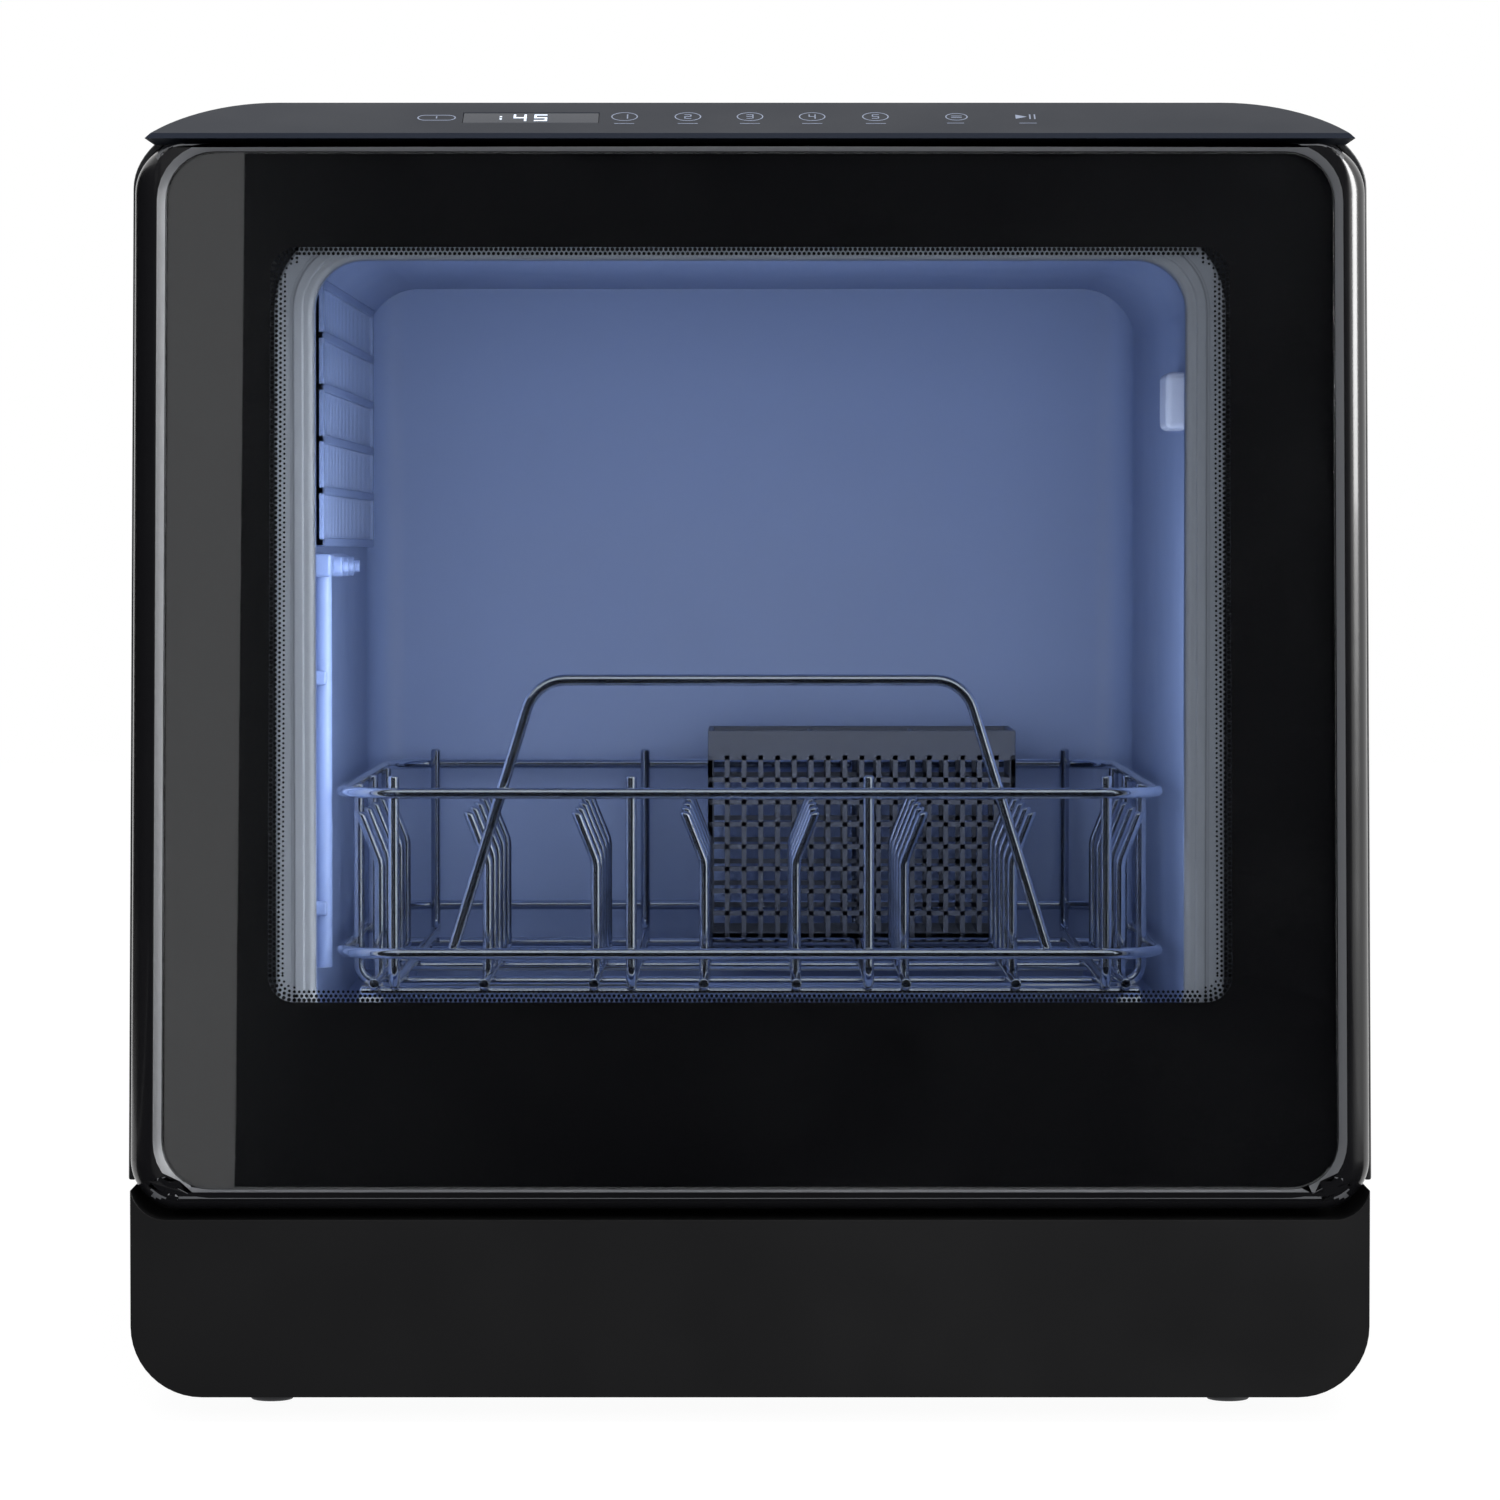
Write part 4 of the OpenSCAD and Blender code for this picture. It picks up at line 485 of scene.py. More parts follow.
scoop_z = DOOR[3] + scoop_r - SCOOP_H
carve(door, rod("scoop", (0, FRONT - PAST, scoop_z), (0, BACK + PAST, scoop_z), scoop_r, 720))
print("door frame carved:", len(door.data.polygons), "faces")


# %% [markdown]
# The satin ring round the glass is a slope of its own tone. It is made by bevelling the seat's front edge,
# and its faces get a second finish.

# %% Door frame: the ring round the glass
seat_x = GLASS[2] + GLASS_GAP + 0.2


def on_seat_edge(at, along):
    """True on the front edge of the glass seat."""
    inside = abs(at.x) < seat_x and GLASS[1] - 1 < at.z < GLASS[3] + 1
    return abs(at.y - FRONT) < 0.6 and abs(along.y) < 0.2 and inside


choose(door, "EDGE", on_seat_edge)
bpy.ops.mesh.bevel(offset=RING * MM, segments=1, affect="EDGES", clamp_overlap=False)
rest()
door.data.materials.append(FINISH["door_plastic"])
door.data.materials.append(BEZEL)
for face in door.data.polygons:
    at = face.center / MM
    sloped = 0.35 < -face.normal.y < 0.95
    close = abs(at.x) < GLASS[2] + 3.2 and GLASS[1] - 3.2 < at.z < GLASS[3] + 3.2
    if sloped and close and at.y < FRONT + 3.2:
        face.material_index = 1
draft(door)
finished(door, "door", "door_plastic", ["door_frame"], angle=30)


# %% [markdown]
# ## Glass, enamel and the dotted band
# The outer pane covers almost the whole door. Behind it lies a black enamel border, and the border breaks
# up into dots towards the clear window, as on an oven door. One dot is a six-sided disc, and an Array makes
# each row of it.

# %% Outer glass and enamel
pane = ease(plate("outer_glass", GLASS, glass_low.y, glass_high.y, 12), 0.5)
finished(draft(pane), "door", "smoked_glass", ["door_glass"])
border_low, border_high = node_box("glass_border")
WINDOW = (-163, 142.4, 163, 396.4, 9)
enamel = ring("enamel_border", GLASS, WINDOW, border_low.y, border_high.y, 12)
finished(draft(enamel), "door", "black_enamel", ["glass_border"])

# %% The dotted band
DOT_STEP = 1.65


def dot(x, z, radius):
    """One printed dot on the back of the glass."""
    return rod("dot", (x, border_low.y + 0.02, z), (x, border_low.y + 0.14, z), radius, 6)


dots = []
x0, z0, x1, z1, corner_r = WINDOW
for row in range(4):
    inset = 0.7 + 1.43 * row
    shift = DOT_STEP / 2 * (row % 2)
    size = 0.7 - 0.09 * row
    across = int((x1 - x0 - 2 * corner_r) / DOT_STEP)
    upwards = int((z1 - z0 - 2 * corner_r) / DOT_STEP)
    if row < 3:
        dots.append(repeat(dot(x0 + corner_r + shift, z0 + inset, size), across, (DOT_STEP, 0, 0)))
    if row < 2:
        dots.append(repeat(dot(x0 + corner_r + shift, z1 - inset, size), across, (DOT_STEP, 0, 0)))
    for x in (x0 + inset, x1 - inset):
        dots.append(repeat(dot(x, z0 + corner_r + shift, size), upwards, (0, 0, DOT_STEP)))
    round_r = corner_r - inset
    count = int(round_r * pi / 2 / DOT_STEP)
    for cx, cz, first in ((x1, z1, 0), (x0, z1, 90), (x0, z0, 180), (x1, z0, 270)):
        for i in range(count + 1):
            turn = radians(first + 90 * i / count)
            mid_x = cx - corner_r if cx == x1 else cx + corner_r
            mid_z = cz - corner_r if cz == z1 else cz + corner_r
            dots.append(dot(mid_x + round_r * cos(turn), mid_z + round_r * sin(turn), size))
dotted = join("dotted_band", dots)
finished(draft(dotted), "door", "black_enamel")


# %% [markdown]
# The back of the door is a liner with its own opening, and the inner pane sits in a rebate behind it.
# Neither pane throws a shadow, so that light from outside reaches the seal and the basket.

# %% Door liner and inner pane
LINER = (liner_low.x, liner_low.z, liner_high.x, liner_high.z, 12)
pane_low, pane_high = node_box("inner_window")
PANE = (pane_low.x, pane_low.z, pane_high.x, pane_high.z, 17)
liner = ring("door_back", LINER, (-170, 112, 170, 405, 17), liner_low.y, liner_high.y, 12)
carve(liner, plate("pane_seat", grown(PANE, 0.2), liner_low.y - 1, pane_high.y))
ease(liner, 0.8, 2, 50)
finished(draft(liner), "door", "liner_plastic", ["door_liner"])
inner = ease(plate("inner_pane", PANE, pane_low.y, pane_high.y, 12), 0.4)
finished(draft(inner), "door", "clear_pane", ["inner_window"])
pane.visible_shadow = inner.visible_shadow = False


# %% [markdown]
# ## The seal
# The rubber seal is a soft grey frame round the mouth. Its front edges are well rounded, and a groove runs
# round it. A flange lies on the mouth plate, and shows as a pale band through the glass.

# %% Seal
MOUTH = (-148.5, 128, 148.5, 393.5, 17)
seal_low, seal_high = node_box("tub_seal")
face_low, face_high = node_box("front_fascia")
lip = ring("seal_lip", grown(MOUTH, 9.2), MOUTH, seal_low.y + 0.8, seal_high.y, 12)
ease(lip, 2.2, 4, 50)
flange = ring("seal_flange", grown(MOUTH, 13.5), grown(MOUTH, 1), seal_low.y + 1.2, face_low.y - 0.05, 12)
ease(flange, 1.2, 3, 50)
bead = ring("seal_bead", grown(MOUTH, 7.2), grown(MOUTH, 3.4), seal_low.y, seal_low.y + 2, 12)
ease(bead, 0.9, 3, 50)
finished(join("door_seal", [lip, flange, bead]), "body", "seal_rubber", ["tub_seal"], angle=40)


# %% [markdown]
# ## The casing
# The casing's shoulders are quarter ellipses. A bevel only makes quarter circles, so the box is stretched
# first, bevelled, and scaled back. The same solid with thinner walls hollows it out, and serves for the
# rear panel, the mouth plate and the control panel too.

# %% Casing
SIDE, TOP = 213.0, 447.0
ARC_X, ARC_Z = 50.0, 29.0
WALL = 2.5


def hood(name, inset, y0, y1, z0):
    """The casing's outline as a solid, drawn in by the inset."""
    stretch = (ARC_X - inset) / (ARC_Z - inset)
    half, top = SIDE - inset, TOP - inset
    piece = block(name, (-half, y0, z0 * stretch), (half, y1, top * stretch))
    choose(piece, "EDGE", lambda at, along: abs(along.y) > 0.9 and at.z > top * stretch - 1)
    bpy.ops.mesh.bevel(offset=(ARC_X - inset) * MM, segments=20, affect="EDGES", clamp_overlap=False)
    rest()
    hold(piece)
    piece.scale.z = 1 / stretch
    bpy.ops.object.transform_apply()
    rest()
    return piece


def slice_off(piece, point, normal):
    """Cuts away what lies on the normal's side of a plane, and closes the cut."""
    hold(piece)
    bpy.ops.object.mode_set(mode="EDIT")
    bpy.ops.mesh.select_all(action="SELECT")
    bpy.ops.mesh.bisect(plane_co=Vector(point) * MM, plane_no=Vector(normal).normalized(), use_fill=True,
        clear_outer=True)
    rest()
    return piece


casing_low, casing_high = node_box("casing")
shell = hood("casing_skin", 0, casing_low.y, casing_high.y, casing_low.z)
carve(shell, hood("inside", WALL, casing_low.y - PAST, casing_high.y - WALL, casing_low.z - PAST))
carve(shell, hood("rear_way", 12, casing_high.y - 10, casing_high.y + PAST, casing_low.z - PAST))
carve(shell, block("lid_hole", (82, 72, 440), (152, 150, 450)))
ease(draft(shell), 0.7, 2)
finished(shell, "body", "casing_shell", ["casing"])

# %% Mouth plate and rear panel
face = hood("mouth_plate", 2.8, face_low.y, face_high.y, face_low.z)
carve(face, plate("mouth_hole", grown(MOUTH, 9.5), face_low.y - PAST, face_high.y + PAST))
carve(face, block("striker_slot", (-11, face_low.y - PAST, 410), (11, face_high.y + PAST, 422)))
for side in (-1, 1):
    x = side * (LUG_X + LUG_W / 2)
    carve(face, block("bracket_slot", (x - 6.3, face_low.y - PAST, 70), (x + 6.3, face_high.y + PAST, 100.3)))
finished(draft(face, 175), "body", "fascia_plastic", ["front_fascia"])
cover_low, cover_high = node_box("rear_cover")
rear = hood("rear_panel", 0, cover_low.y, cover_high.y, cover_low.z)
VENTS = 12
VENT_STEP = 7
side_vent = block("side_vent", (-190, cover_low.y - PAST, 160), (-130, cover_high.y + PAST, 163))
carve(rear, repeat(side_vent, VENTS, (0, 0, VENT_STEP)))
top_vent = block("top_vent", (-30, cover_low.y - PAST, 406), (-27, cover_high.y + PAST, 422))
carve(rear, repeat(top_vent, VENTS, (VENT_STEP, 0, 0)))
ease(draft(rear, 175), 0.4, 2)
finished(rear, "body", "cover_plastic", ["rear_cover"])


# %% [markdown]
# ## The control panel
# The panel is the casing's outline cut off along a slope. The display lies in a shallow seat, and the touch
# marks are thin relief in a paler finish. The marks are plain and general: rings, bars, an arrow and
# numbers.

# %% Control panel
panel_low, panel_high = node_box("control_panel")
LIP = 434.6
FLAT_Y = -182.5
slope = Vector((0, FLAT_Y - panel_low.y, TOP - LIP))
SLOPE_TURN = atan2(slope.z, slope.y)
SLOPE_AT = Vector((0, (panel_low.y + FLAT_Y) / 2, (LIP + TOP) / 2))
film = hood("panel_skin", 0, panel_low.y, panel_high.y, 400)
slice_off(film, (0, 0, panel_low.z), (0, 0, -1))
slice_off(film, (0, panel_low.y, LIP), (0, -slope.z, slope.y))


def lay(piece):
    """Lays a piece that was modelled flat, x across and y up the slope, on the panel's middle line."""
    hold(piece)
    piece.rotation_euler.x = SLOPE_TURN
    piece.location = SLOPE_AT * MM
    bpy.ops.object.transform_apply()
    rest()
    return piece


carve(film, lay(block("display_seat", (-97, -5.5, -1), (-51, 5.5, 3))))
ease(draft(film, 150), 0.5, 3)
finished(film, "body", "panel_slate", ["control_panel"], angle=30)
lens = lay(ease(block("display_glass", (-96.9, -5.4, -1), (-51.1, 5.4, -0.1)), 0.3))
finished(lens, "body", "display_lens", ["display_window"])

# %% Panel marks
BARS = {"top": (0, 1, 1, 1), "high_left": (0, 0.5, 0, 1), "high_right": (1, 0.5, 1, 1),
    "middle": (0, 0.5, 1, 0.5), "low_left": (0, 0, 0, 0.5), "low_right": (1, 0, 1, 0.5),
    "bottom": (0, 0, 1, 0)}
LIT_BARS = {"1": "high_right low_right",
    "2": "top high_right middle low_left bottom", "3": "top high_right middle low_right bottom",
    "4": "high_left high_right middle low_right", "5": "top high_left middle low_right bottom"}


def bar(x0, u0, x1, u1, thick, lift=0.05):
    """A thin straight mark between two points, either across or up the slope."""
    half = thick / 2
    low = (min(x0, x1) - half, min(u0, u1) - half, -0.2)
    return block("mark", low, (max(x0, x1) + half, max(u0, u1) + half, lift))


def digit(text, x, u, wide, high, thick, lift=0.05):
    """A plain seven-bar digit with its lower left corner at x, u."""
    return [bar(x + a * wide, u + b * high, x + c * wide, u + d * high, thick, lift)
        for a, b, c, d in (BARS[part] for part in LIT_BARS[text].split())]


def hoop(x, u, radius, thick=0.36, lift=0.05, wide=1.0):
    """A thin ring, drawn out sideways into an oval where wide is over 1."""
    rest()
    bpy.ops.mesh.primitive_torus_add(major_radius=radius * MM, minor_radius=thick / 2 * MM, major_segments=48,
        minor_segments=8, location=(0, 0, 0))
    piece = bpy.context.object
    for point in piece.data.vertices:
        point.co.x += (wide if point.co.x > 0 else -wide) * MM
        point.co.z *= 2 * lift / thick
    piece.location = Vector((x, u, 0)) * MM
    bpy.ops.object.transform_apply()
    return piece


marks = [hoop(-105.9, 0, 2.7, 0.45, wide=3.6), bar(-105.9, -0.6, -105.9, 1.3, 0.4)]
for number, x in enumerate((-42.4, -21.0, 0.0, 21.0, 42.4), 1):
    marks.append(hoop(x, 1.2, 4.3, 0.4, wide=0.0))
    marks += digit(str(number), x - 1.0, -0.8, 2.0, 4.0, 0.42)
    marks.append(bar(x - 3.2, -6.3, x + 3.2, -6.3, 0.35))
marks += [hoop(69.8, 1.0, 3.6, 0.4, wide=0.0), bar(68.2, 0.2, 71.4, 0.2, 0.4), bar(68.2, 1.8, 71.4, 1.8, 0.4)]
marks += [bar(94.6, -1.2, 94.6, 3.2, 0.5), bar(96.2, -1.2, 96.2, 3.2, 0.5)]
rest()
bpy.ops.mesh.primitive_cylinder_add(vertices=3, radius=2.5 * MM, depth=0.25 * MM,
    location=Vector((91, 1.0, -0.075)) * MM, rotation=(0, 0, radians(-90)))
arrow = bpy.context.object
bpy.ops.object.transform_apply()
marks.append(arrow)
for x in (66.6, 91.0):
    marks.append(bar(x, -5.9, x + 5.4, -5.9, 0.35))
finished(lay(join("panel_marks", marks)), "body", "panel_slate", material=PRINT)
shown = digit("4", -79.5, -2.9, 3.6, 6.0, 0.8, 0.02) + digit("5", -72.5, -2.9, 3.6, 6.0, 0.8, 0.02)
shown += [bar(-84.2, -1.3, -84.2, -1.2, 0.8, 0.02), bar(-84.2, 1.2, -84.2, 1.3, 0.8, 0.02)]
finished(lay(join("display_digits", shown)), "body", "display_lens", material=LIT)


# %% [markdown]
# ## The base
# The base is a tub with round lower edges. A recess under the door leaves a low horn at each side, and the
# rear wall has round holes for the hoses and the cord's gland.

# %% Base
base_low, base_high = node_box("base_shell")
RECESS_Z = 69
tray = block("base_skin", base_low, base_high)
choose(tray, "EDGE", lambda at, along: abs(along.y) > 0.9 and at.z < base_low.z + 1)
bpy.ops.mesh.bevel(offset=24 * MM, segments=12, affect="EDGES")
rest()
room = block("bay", (base_low.x + 3, -176, base_low.z + 3),
    (base_high.x - 3, base_high.y - 3, base_high.z + PAST))
choose(room, "EDGE", lambda at, along: abs(along.y) > 0.9 and at.z < base_low.z + 4)
bpy.ops.mesh.bevel(offset=21 * MM, segments=12, affect="EDGES")
rest()
carve(tray, room)
carve(tray, block("front_bay", (-185, base_low.y + 3, base_low.z + 3), (185, -170, RECESS_Z - 3)))
carve(tray, plate("recess", (-209, RECESS_Z, 209, RECESS_Z + 60, 12), base_low.y - PAST, -181, 12))
for x, z, radius in ((-124, 52, 9.3), (181, 50, 13.5), (60, 40, 7.3)):
    carve(tray, rod("hose_hole", (x, base_high.y - 10, z), (x, base_high.y + PAST, z), radius, 40))
ease(tray, 0.9, 3)
finished(tray, "body", "base_plastic", ["base_shell"])
pads = []
for x in (-166, 166):
    for y in (-155, 140):
        pads.append(rod("pad", (x, y, 0), (x, y, 9), 7.5, 40))
finished(ease(join("foot_pads", pads), 1.0, 3), "body", "hose_rubber", ["feet"])


# %% [markdown]
# ## Inside the tub
# Through the glass one sees a grille with many fine slats on the left, a small lamp lens on the right, and
# a nozzle rail with its feed pipe. Each is moulded in the tub's own blue-grey, a shade lighter.

# %% Grille, rail and lens
grille_low, grille_high = node_box("air_grille")
SLATS = 37
SLAT_T = 2.4
slat_step = (grille_high.y - grille_low.y - SLAT_T) / (SLATS - 1)
slat = block("slat", (grille_low.x + 0.6, grille_low.y, grille_low.z),
    (grille_high.x - 1.2, grille_low.y + SLAT_T, grille_high.z))
grille = [repeat(slat, SLATS, (0, slat_step, 0))]
CROSSES = 6
CROSS_T = 3
cross = block("cross", grille_low, (grille_high.x, grille_high.y, grille_low.z + CROSS_T))
grille.append(repeat(cross, CROSSES, (0, 0, (grille_high.z - grille_low.z - CROSS_T) / (CROSSES - 1))))
for y in (grille_low.y, grille_high.y - 4):
    grille.append(block("end", (grille_low.x, y, grille_low.z), (grille_high.x, y + 4, grille_high.z)))
finished(ease(join("grille_skin", grille), 0.4, 2), "body", "trim_blue", ["air_grille"])
rail_low, rail_high = node_box("nozzle_rail")
rail = [ease(block("rail", rail_low, (rail_low.x + 6, rail_high.y, rail_high.z)), 1.2, 3)]
jet_z = rail_low.z + 3.5
for y in (-135, -105, -75):
    rail.append(ease(rod("knob", (rail_low.x + 5, y, jet_z), (rail_low.x + 9, y, jet_z), 3.5, 24), 0.8))
    rail.append(ease(rod("jet", (rail_low.x + 8, y, jet_z), (rail_high.x, y, jet_z), 2.2, 20), 0.5))
finished(join("nozzle_strip", rail), "body", "trim_blue", ["nozzle_rail"])
pipe_low, pipe_high = node_box("feed_pipe")
pipe = [rod("pipe", (-148, -148, pipe_low.z), (-148, -148, pipe_high.z), 3, 28)]
for z in (168, 248):
    pipe.append(ease(block("clip", (-151, -153, z), (-146.6, -143, z + 5)), 1.0, 3))
finished(join("riser_pipe", pipe), "body", "trim_blue", ["feed_pipe"])
lens_low, lens_high = node_box("lamp_lens")
finished(ease(block("lamp_cover", lens_low, lens_high), 2.6, 4), "body", "lamp_white", ["lamp_lens"])


# %% [markdown]
# ## The wire basket
# A wire starts as a ring of points, which is then extruded along the straight runs and spun round the
# bends, as a bending machine would do it. Its ends are closed and rounded.

# %% Wire
WIRE_R = 1.9


def wire(name, at, facing, moves, sides=14):
    """A bent wire. Moves are ("go", way) or ("turn", centre, axis, degrees), in millimetres."""
    rest()
    turn = Vector(facing).to_track_quat("Z", "Y").to_euler()
    bpy.ops.mesh.primitive_circle_add(vertices=sides, radius=WIRE_R * MM, location=Vector(at) * MM,
        rotation=turn)
    piece = bpy.context.object
    piece.name = piece.data.name = name
    bpy.ops.object.transform_apply()
    bpy.context.tool_settings.mesh_select_mode = (True, False, False)
    bpy.ops.object.mode_set(mode="EDIT")
    bpy.ops.mesh.select_all(action="SELECT")
    for kind, *how in moves:
        if kind == "go":
            bpy.ops.mesh.extrude_region_move(TRANSFORM_OT_translate={"value": Vector(how[0]) * MM})
        else:
            centre, axis, angle = how
            bpy.ops.mesh.spin(steps=7, angle=-radians(angle), center=Vector(centre) * MM, axis=axis)
    bpy.ops.mesh.select_all(action="SELECT")
    bpy.ops.mesh.remove_doubles(threshold=1e-5)
    bpy.ops.mesh.fill_holes(sides=0)
    bpy.ops.mesh.normals_make_consistent(inside=False)
    rest()
    return piece


def straight(name, start, end):
    """A straight wire with rounded ends."""
    return ease(rod(name, start, end, WIRE_R, 14), 0.9, 2, 50)


X, Y0, Y1, CORNER = 142, -163, 120, 22
FLOOR, LOW, HIGH = 145, 155.6, 211
wires = []
for z in (LOW, HIGH):
    across, along = 2 * (X - CORNER), Y1 - Y0 - 2 * CORNER
    wires.append(wire("rail", (CORNER - X, Y0, z), (1, 0, 0), [
        ("go", (across, 0, 0)), ("turn", (X - CORNER, Y0 + CORNER, z), (0, 0, 1), 90),
        ("go", (0, along, 0)), ("turn", (X - CORNER, Y1 - CORNER, z), (0, 0, 1), 90),
        ("go", (-across, 0, 0)), ("turn", (CORNER - X, Y1 - CORNER, z), (0, 0, 1), 90),
        ("go", (0, -along, 0)), ("turn", (CORNER - X, Y0 + CORNER, z), (0, 0, 1), 90)]))
SET_IN = 3.3
BEND = 6
for x in (-123, -41, 41, 123):
    y0, y1, top = Y0 + SET_IN, Y1 - SET_IN, HIGH + 6
    post = wire("post", (x, y0, top), (0, 0, -1), [
        ("go", (0, 0, FLOOR + BEND - top)), ("turn", (x, y0 + BEND, FLOOR + BEND), (1, 0, 0), 90),
        ("go", (0, y1 - y0 - 2 * BEND, 0)), ("turn", (x, y1 - BEND, FLOOR + BEND), (1, 0, 0), 90),
        ("go", (0, 0, top - FLOOR - BEND))])
    wires.append(ease(post, 1.0, 3, 50))
for y in (-103, -23, 57):
    half, low, top = X - SET_IN, FLOOR - SET_IN, HIGH + 0.95
    brace = wire("brace", (-half, y, top), (0, 0, -1), [
        ("go", (0, 0, low + BEND - top)), ("turn", (BEND - half, y, low + BEND), (0, 1, 0), -90),
        ("go", (2 * (half - BEND), 0, 0)), ("turn", (half - BEND, y, low + BEND), (0, 1, 0), -90),
        ("go", (0, 0, top - low - BEND))])
    wires.append(ease(brace, 0.8, 2, 50))
for y in (-151.8, 108.8):
    wires.append(straight("cross", (-135.4, y, FLOOR - SET_IN), (135.4, y, FLOOR - SET_IN)))
finished(join("basket_wires", wires), "basket", "wire_chrome", ["basket_frame"], angle=40)

# %% Tines and handle
tines = []
for side in (-1, 1):
    for x in (16, 54, 92, 130):
        tines.append(straight("row", (side * x, -159.7, FLOOR), (side * x, 43, FLOOR)))
        for i in range(5):
            y = -125 + 40 * i
            tine = wire("tine", (side * x, y, FLOOR), (0, 0, 1), [
                ("go", (0, 0, 39)), ("go", (side * 0.4, 0, 2.4)), ("go", (side * 6.6, 0, 16.6))], 12)
            tines.append(ease(tine, 1.2, 3, 50))
finished(join("plate_tines", tines), "basket", "wire_chrome", ["basket_tines"], angle=40)
hy, arc_x, arc_z, foot = Y0 + SET_IN, 63.65, 236, 103
leg = Vector((foot - 77.03, 0, 240.12 - LOW))
grip = wire("basket_grip", (-foot, hy, LOW), leg, [
    ("go", leg), ("turn", (-arc_x, hy, arc_z), (0, 1, 0), 72.9), ("go", (2 * arc_x, 0, 0)),
    ("turn", (arc_x, hy, arc_z), (0, 1, 0), 72.9), ("go", (leg.x, 0, -leg.z))], 18)
finished(ease(grip, 0.8, 2, 50), "basket", "wire_chrome", ["basket_handle"], angle=40)


# %% [markdown]
# ## The cutlery basket
# A moulded lattice with a plain band at its top. Each wall is two sets of bars, and two dividers cross it.

# %% Cutlery basket
cut_low, cut_high = node_box("cutlery_basket")
BAND = 10


def lattice(name, low, high, thin, counts):
    """Bars both ways over a flat box: thin is the axis across it, counts the bars along the other two."""
    made = []
    ways = [axis for axis in range(3) if axis != thin]
    for axis, count in zip(ways, counts):
        end = Vector(high)
        end[axis] = low[axis] + 1.8
        step = Vector((0, 0, 0))
        step[axis] = (high[axis] - low[axis] - 1.8) / (count - 1)
        made.append(repeat(block(name, low, end), count, step))
    return made


x0, y0, z0 = cut_low
x1, y1, z1 = cut_high
net = []
for y in (y0, y1 - 2):
    net += lattice("net", (x0, y, z0), (x1, y + 2, z1 - BAND + 0.5), 1, (19, 9))
for x in (x0, x1 - 2):
    net += lattice("net", (x, y0, z0), (x + 2, y1, z1 - BAND + 0.5), 0, (10, 9))
net += lattice("net", (x0, y0, z0), (x1, y1, z0 + 2), 2, (19, 10))
band = block("band", (x0, y0, z1 - BAND), (x1, y1, z1))
carve(band, block("band_hole", (x0 + 2, y0 + 2, z1 - BAND - 2), (x1 - 2, y1 - 2, z1 + 2)))
net.append(ease(band, 0.6))
for i in (1, 2):
    x = x0 + i * (x1 - x0) / 3
    net.append(block("divider", (x - 0.8, y0 + 1, z1 - 24), (x + 0.8, y1 - 1, z1 - 1)))
# The lattice's dark grey finish is painted shade on a pale grey basket.
finished(join("cutlery_lattice", net), "cutlery", "cutlery_plastic", ["cutlery_basket"])


# %% [markdown]
# ## The fill lid
# The fill lid is a flap with a finger notch, and it turns with its knuckle. The spray arm, a flat blade that
# tapers to round tips with a raised hub, is not remodelled here.

# %% Fill lid
lid = block("fill_flap", (84.5, 74.5, 444.5), (149.5, 145.7, 447))
carve(lid, rod("notch", (117, 72.5, 440), (117, 72.5, 450), 8, 48))
lid_parts = [ease(lid, 0.5), rod("knuckle", (84.5, 145.7, 445.2), (149.5, 145.7, 445.2), 1.8, 24),
    rod("lid_pin", (82.5, 145.7, 445.2), (151.5, 145.7, 445.2), 1.2, 20)]
finished(join("fill_flap", lid_parts), "lid", "lid_plastic", ["fill_lid"])


# %% [markdown]
# ## The rest of the frame
# The nodes that stay as they are get the finish of their own slot, so nothing is left in a plain colour.

# %% Finishes for the CAD nodes
for part in frame["record"]["subparts"]:
    node = frame["nodes"][part["node"]]
    if not node.material_slots:
        node.data.materials.append(FINISH[part["material_slot"]])
    for place in node.material_slots:
        place.link = "OBJECT"
        place.material = FINISH[part["material_slot"]]


# %% [markdown]
# ## The studio
# The picture has a pure white ground. Black flags, which only gloss and glass can see, keep the front dark,
# and a pale card gives the left of the glass its grey band. One soft lamp inside the tub and one before the
# door light the basket, and a lamp at the right, which only gloss can see, draws the bright line along the
# door's edge.

# %% Cards and floor
def card(name, corners, colour, strength, floor=False):
    """A flat card between four corners in metres. Only gloss and glass show it, unless it is the floor."""
    rest()
    bpy.ops.mesh.primitive_plane_add(size=1)
    piece = bpy.context.object
    piece.name = piece.data.name = name
    a, b, c, d = corners
    for point, place in zip(piece.data.vertices, (a, b, d, c)):
        point.co = place
    material = bpy.data.materials.new(name)
    material.use_nodes = True
    tree = material.node_tree
    base = tree.nodes["Principled BSDF"]
    glow = tree.nodes.new("ShaderNodeEmission")
    glow.inputs["Color"].default_value = srgb(colour)
    glow.inputs["Strength"].default_value = strength
    if floor:
        base.inputs["Base Color"].default_value = srgb("ffffff")
        base.inputs["Roughness"].default_value = 0.9
        base.inputs["Specular IOR Level"].default_value = 0.0
        both = tree.nodes.new("ShaderNodeMixShader")
        both.inputs["Fac"].default_value = FLOOR_GLOW
        tree.links.new(base.outputs["BSDF"], both.inputs[1])
        tree.links.new(glow.outputs["Emission"], both.inputs[2])
        tree.links.new(both.outputs["Shader"], tree.nodes["Material Output"].inputs["Surface"])
    else:
        tree.links.new(glow.outputs["Emission"], tree.nodes["Material Output"].inputs["Surface"])
        piece.visible_camera = piece.visible_diffuse = False
        piece.visible_shadow = piece.visible_volume_scatter = False
    piece.data.materials.append(material)
    rest()
    return piece


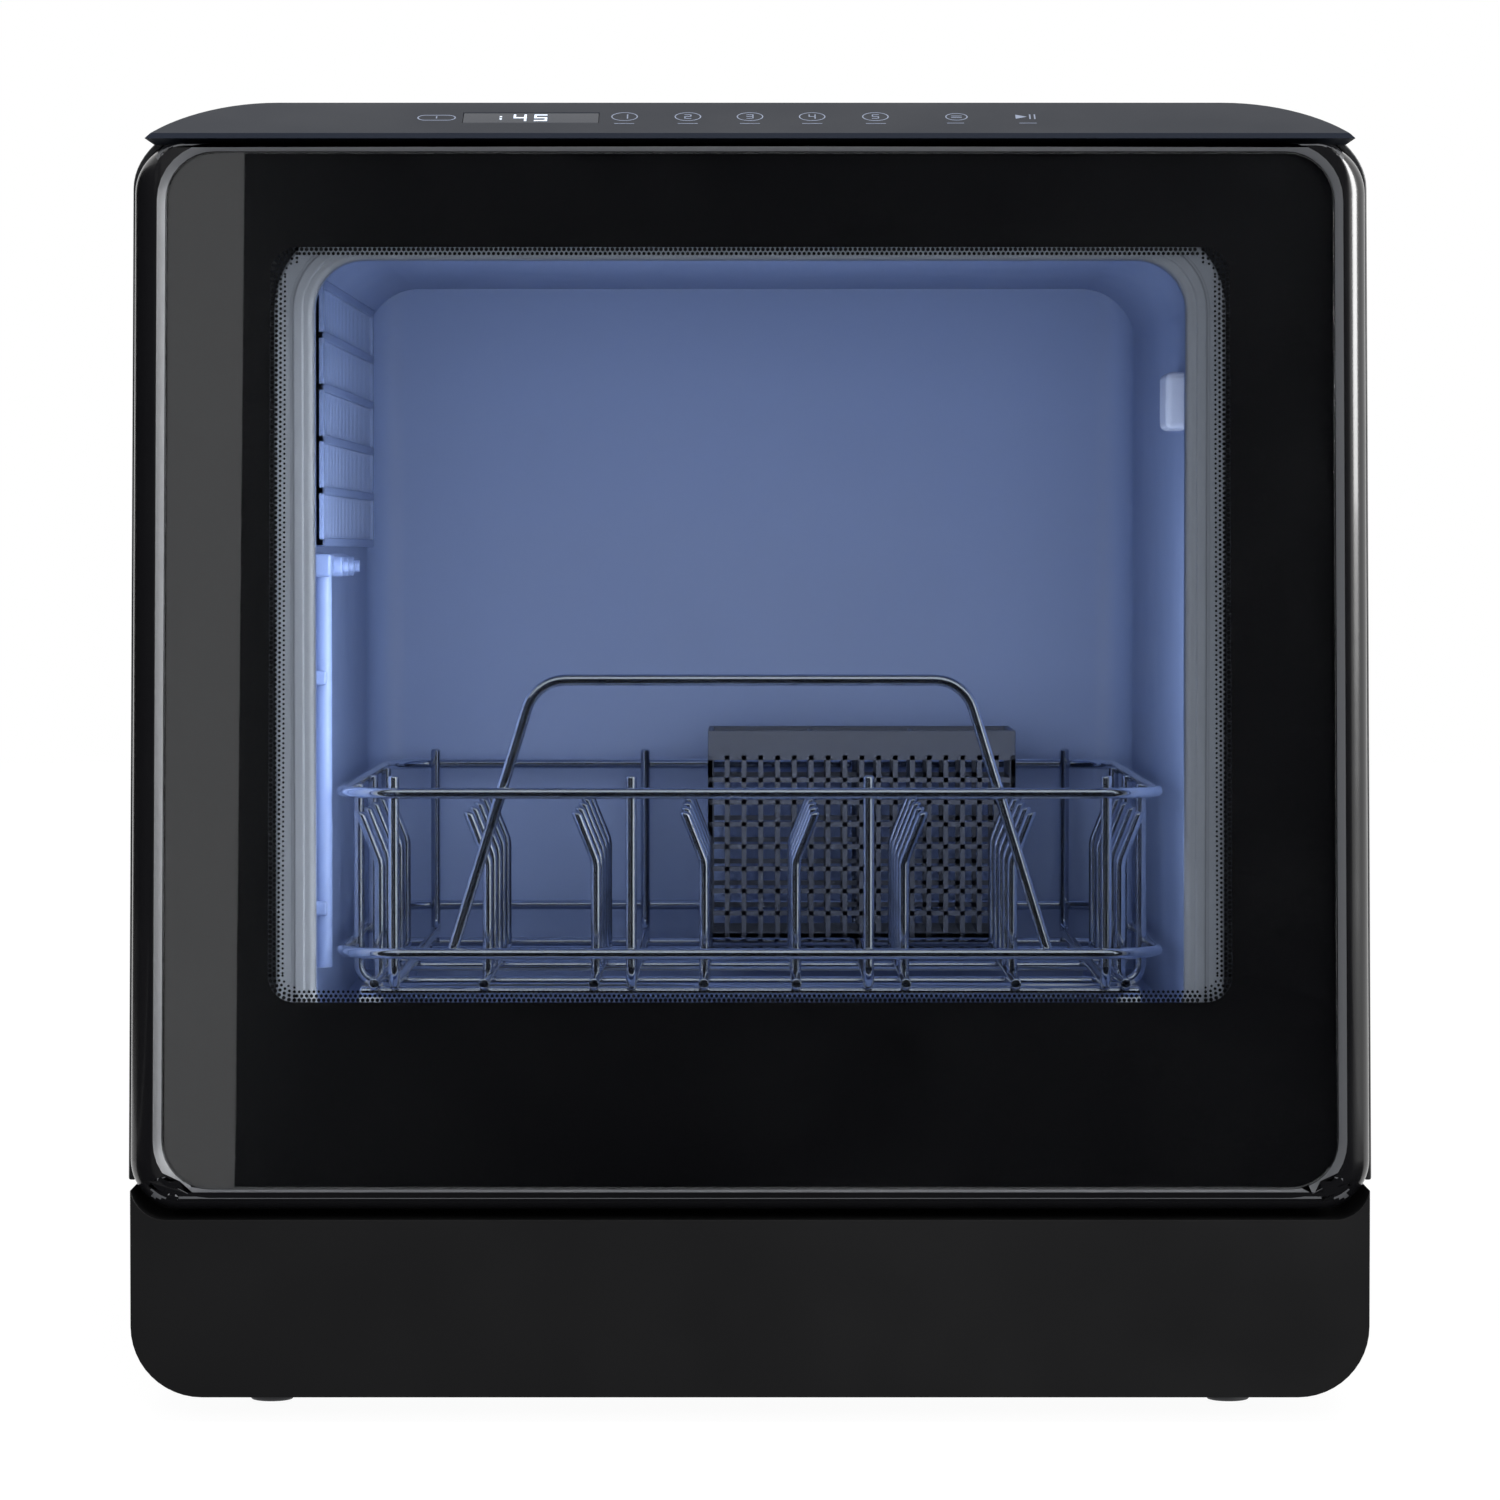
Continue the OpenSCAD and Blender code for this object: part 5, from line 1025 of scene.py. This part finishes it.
FLOOR_GLOW = 0.88
BLACK, WHITE = "000000", "ffffff"
card("studio_floor", ((-6, -6, 0), (6, -6, 0), (6, 6, 0), (-6, 6, 0)), WHITE, 1.08, floor=True)
card("flag_front", ((-1.6, -2.6, -0.02), (1.6, -2.6, -0.02), (1.6, -2.6, 1.3), (-1.6, -2.6, 1.3)), BLACK, 0)
card("flag_floor", ((-1.2, -2.6, 0.002), (1.2, -2.6, 0.002), (1.2, -0.17, 0.002), (-1.2, -0.17, 0.002)),
    BLACK, 0)
card("flag_left", ((-1.3, -2.6, -0.02), (-1.3, 1.0, -0.02), (-1.3, 1.0, 1.0), (-1.3, -2.6, 1.0)), BLACK, 0)
card("card_left", ((-0.2675, -0.9, 0), (-0.2336, -0.9, 0), (-0.2274, -0.9, 0.49), (-0.2675, -0.9, 0.49)),
    WHITE, 0.7)
print("floor, three black flags and one pale card")


# %% Lamps
def lamp(name, at, aim, wide, high, power, tone=(1, 1, 1)):
    """A soft rectangular lamp."""
    data = bpy.data.lights.new(name, "AREA")
    data.shape, data.size, data.size_y = "RECTANGLE", wide, high
    data.energy, data.color = power, tone
    piece = bpy.data.objects.new(name, data)
    bpy.context.scene.collection.objects.link(piece)
    piece.location = at
    piece.rotation_euler = (Vector(aim) - Vector(at)).to_track_quat("-Z", "Y").to_euler()
    piece.visible_camera = piece.visible_transmission = piece.visible_glossy = False
    return piece


lamp("tub_lamp", (0, -0.1765, 0.24), (0, 0.1, 0.2), 0.28, 0.16, 0.75, (0.93, 0.96, 1.0))
lamp("front_box", (0, -1.2, 0.3), (0, -0.18, 0.27), 0.6, 0.4, 9, (0.97, 0.98, 1.0))
lamp("top_box", (0.1, -0.5, 1.6), (0, -0.15, 0.4), 1.4, 0.9, 10)
side = lamp("side_box", (1.6, -1.0, 0.9), (0.1, -0.1, 0.3), 0.8, 1.2, 60)
side.visible_glossy, side.visible_diffuse = True, False
print("four lamps")

# %% World and camera
world = bpy.data.worlds.new("studio")
bpy.context.scene.world = world
world.use_nodes = True
tree = world.node_tree
ground = tree.nodes["Background"]
ground.inputs["Color"].default_value = (1, 1, 1, 1)
paths = tree.nodes.new("ShaderNodeLightPath")
first = tree.nodes.new("ShaderNodeMath")
second = tree.nodes.new("ShaderNodeMath")
first.operation = second.operation = "MAXIMUM"
tree.links.new(paths.outputs["Is Camera Ray"], first.inputs[0])
tree.links.new(paths.outputs["Is Glossy Ray"], first.inputs[1])
tree.links.new(first.outputs[0], second.inputs[0])
tree.links.new(paths.outputs["Is Transmission Ray"], second.inputs[1])
level = tree.nodes.new("ShaderNodeMapRange")
level.inputs["To Min"].default_value, level.inputs["To Max"].default_value = 0.45, 1.0
tree.links.new(second.outputs[0], level.inputs["Value"])
tree.links.new(level.outputs["Result"], ground.inputs["Strength"])

eye = bpy.data.cameras.new("camera")
eye.lens, eye.sensor_width, eye.clip_start = 142.85, 36, 0.05
camera = bpy.data.objects.new("camera", eye)
bpy.context.scene.collection.objects.link(camera)
camera.location = (0, -2.215, 0.295)
camera.rotation_euler = (radians(90 - 1.93), 0, 0)
scene = bpy.context.scene
scene.camera = camera
scene.view_settings.view_transform = "Standard"
scene.cycles.max_bounces = 16
scene.cycles.transmission_bounces = 12
scene.cycles.glossy_bounces = 6
scene.cycles.transparent_max_bounces = 12
print("camera at", tuple(camera.location), "lens", eye.lens)
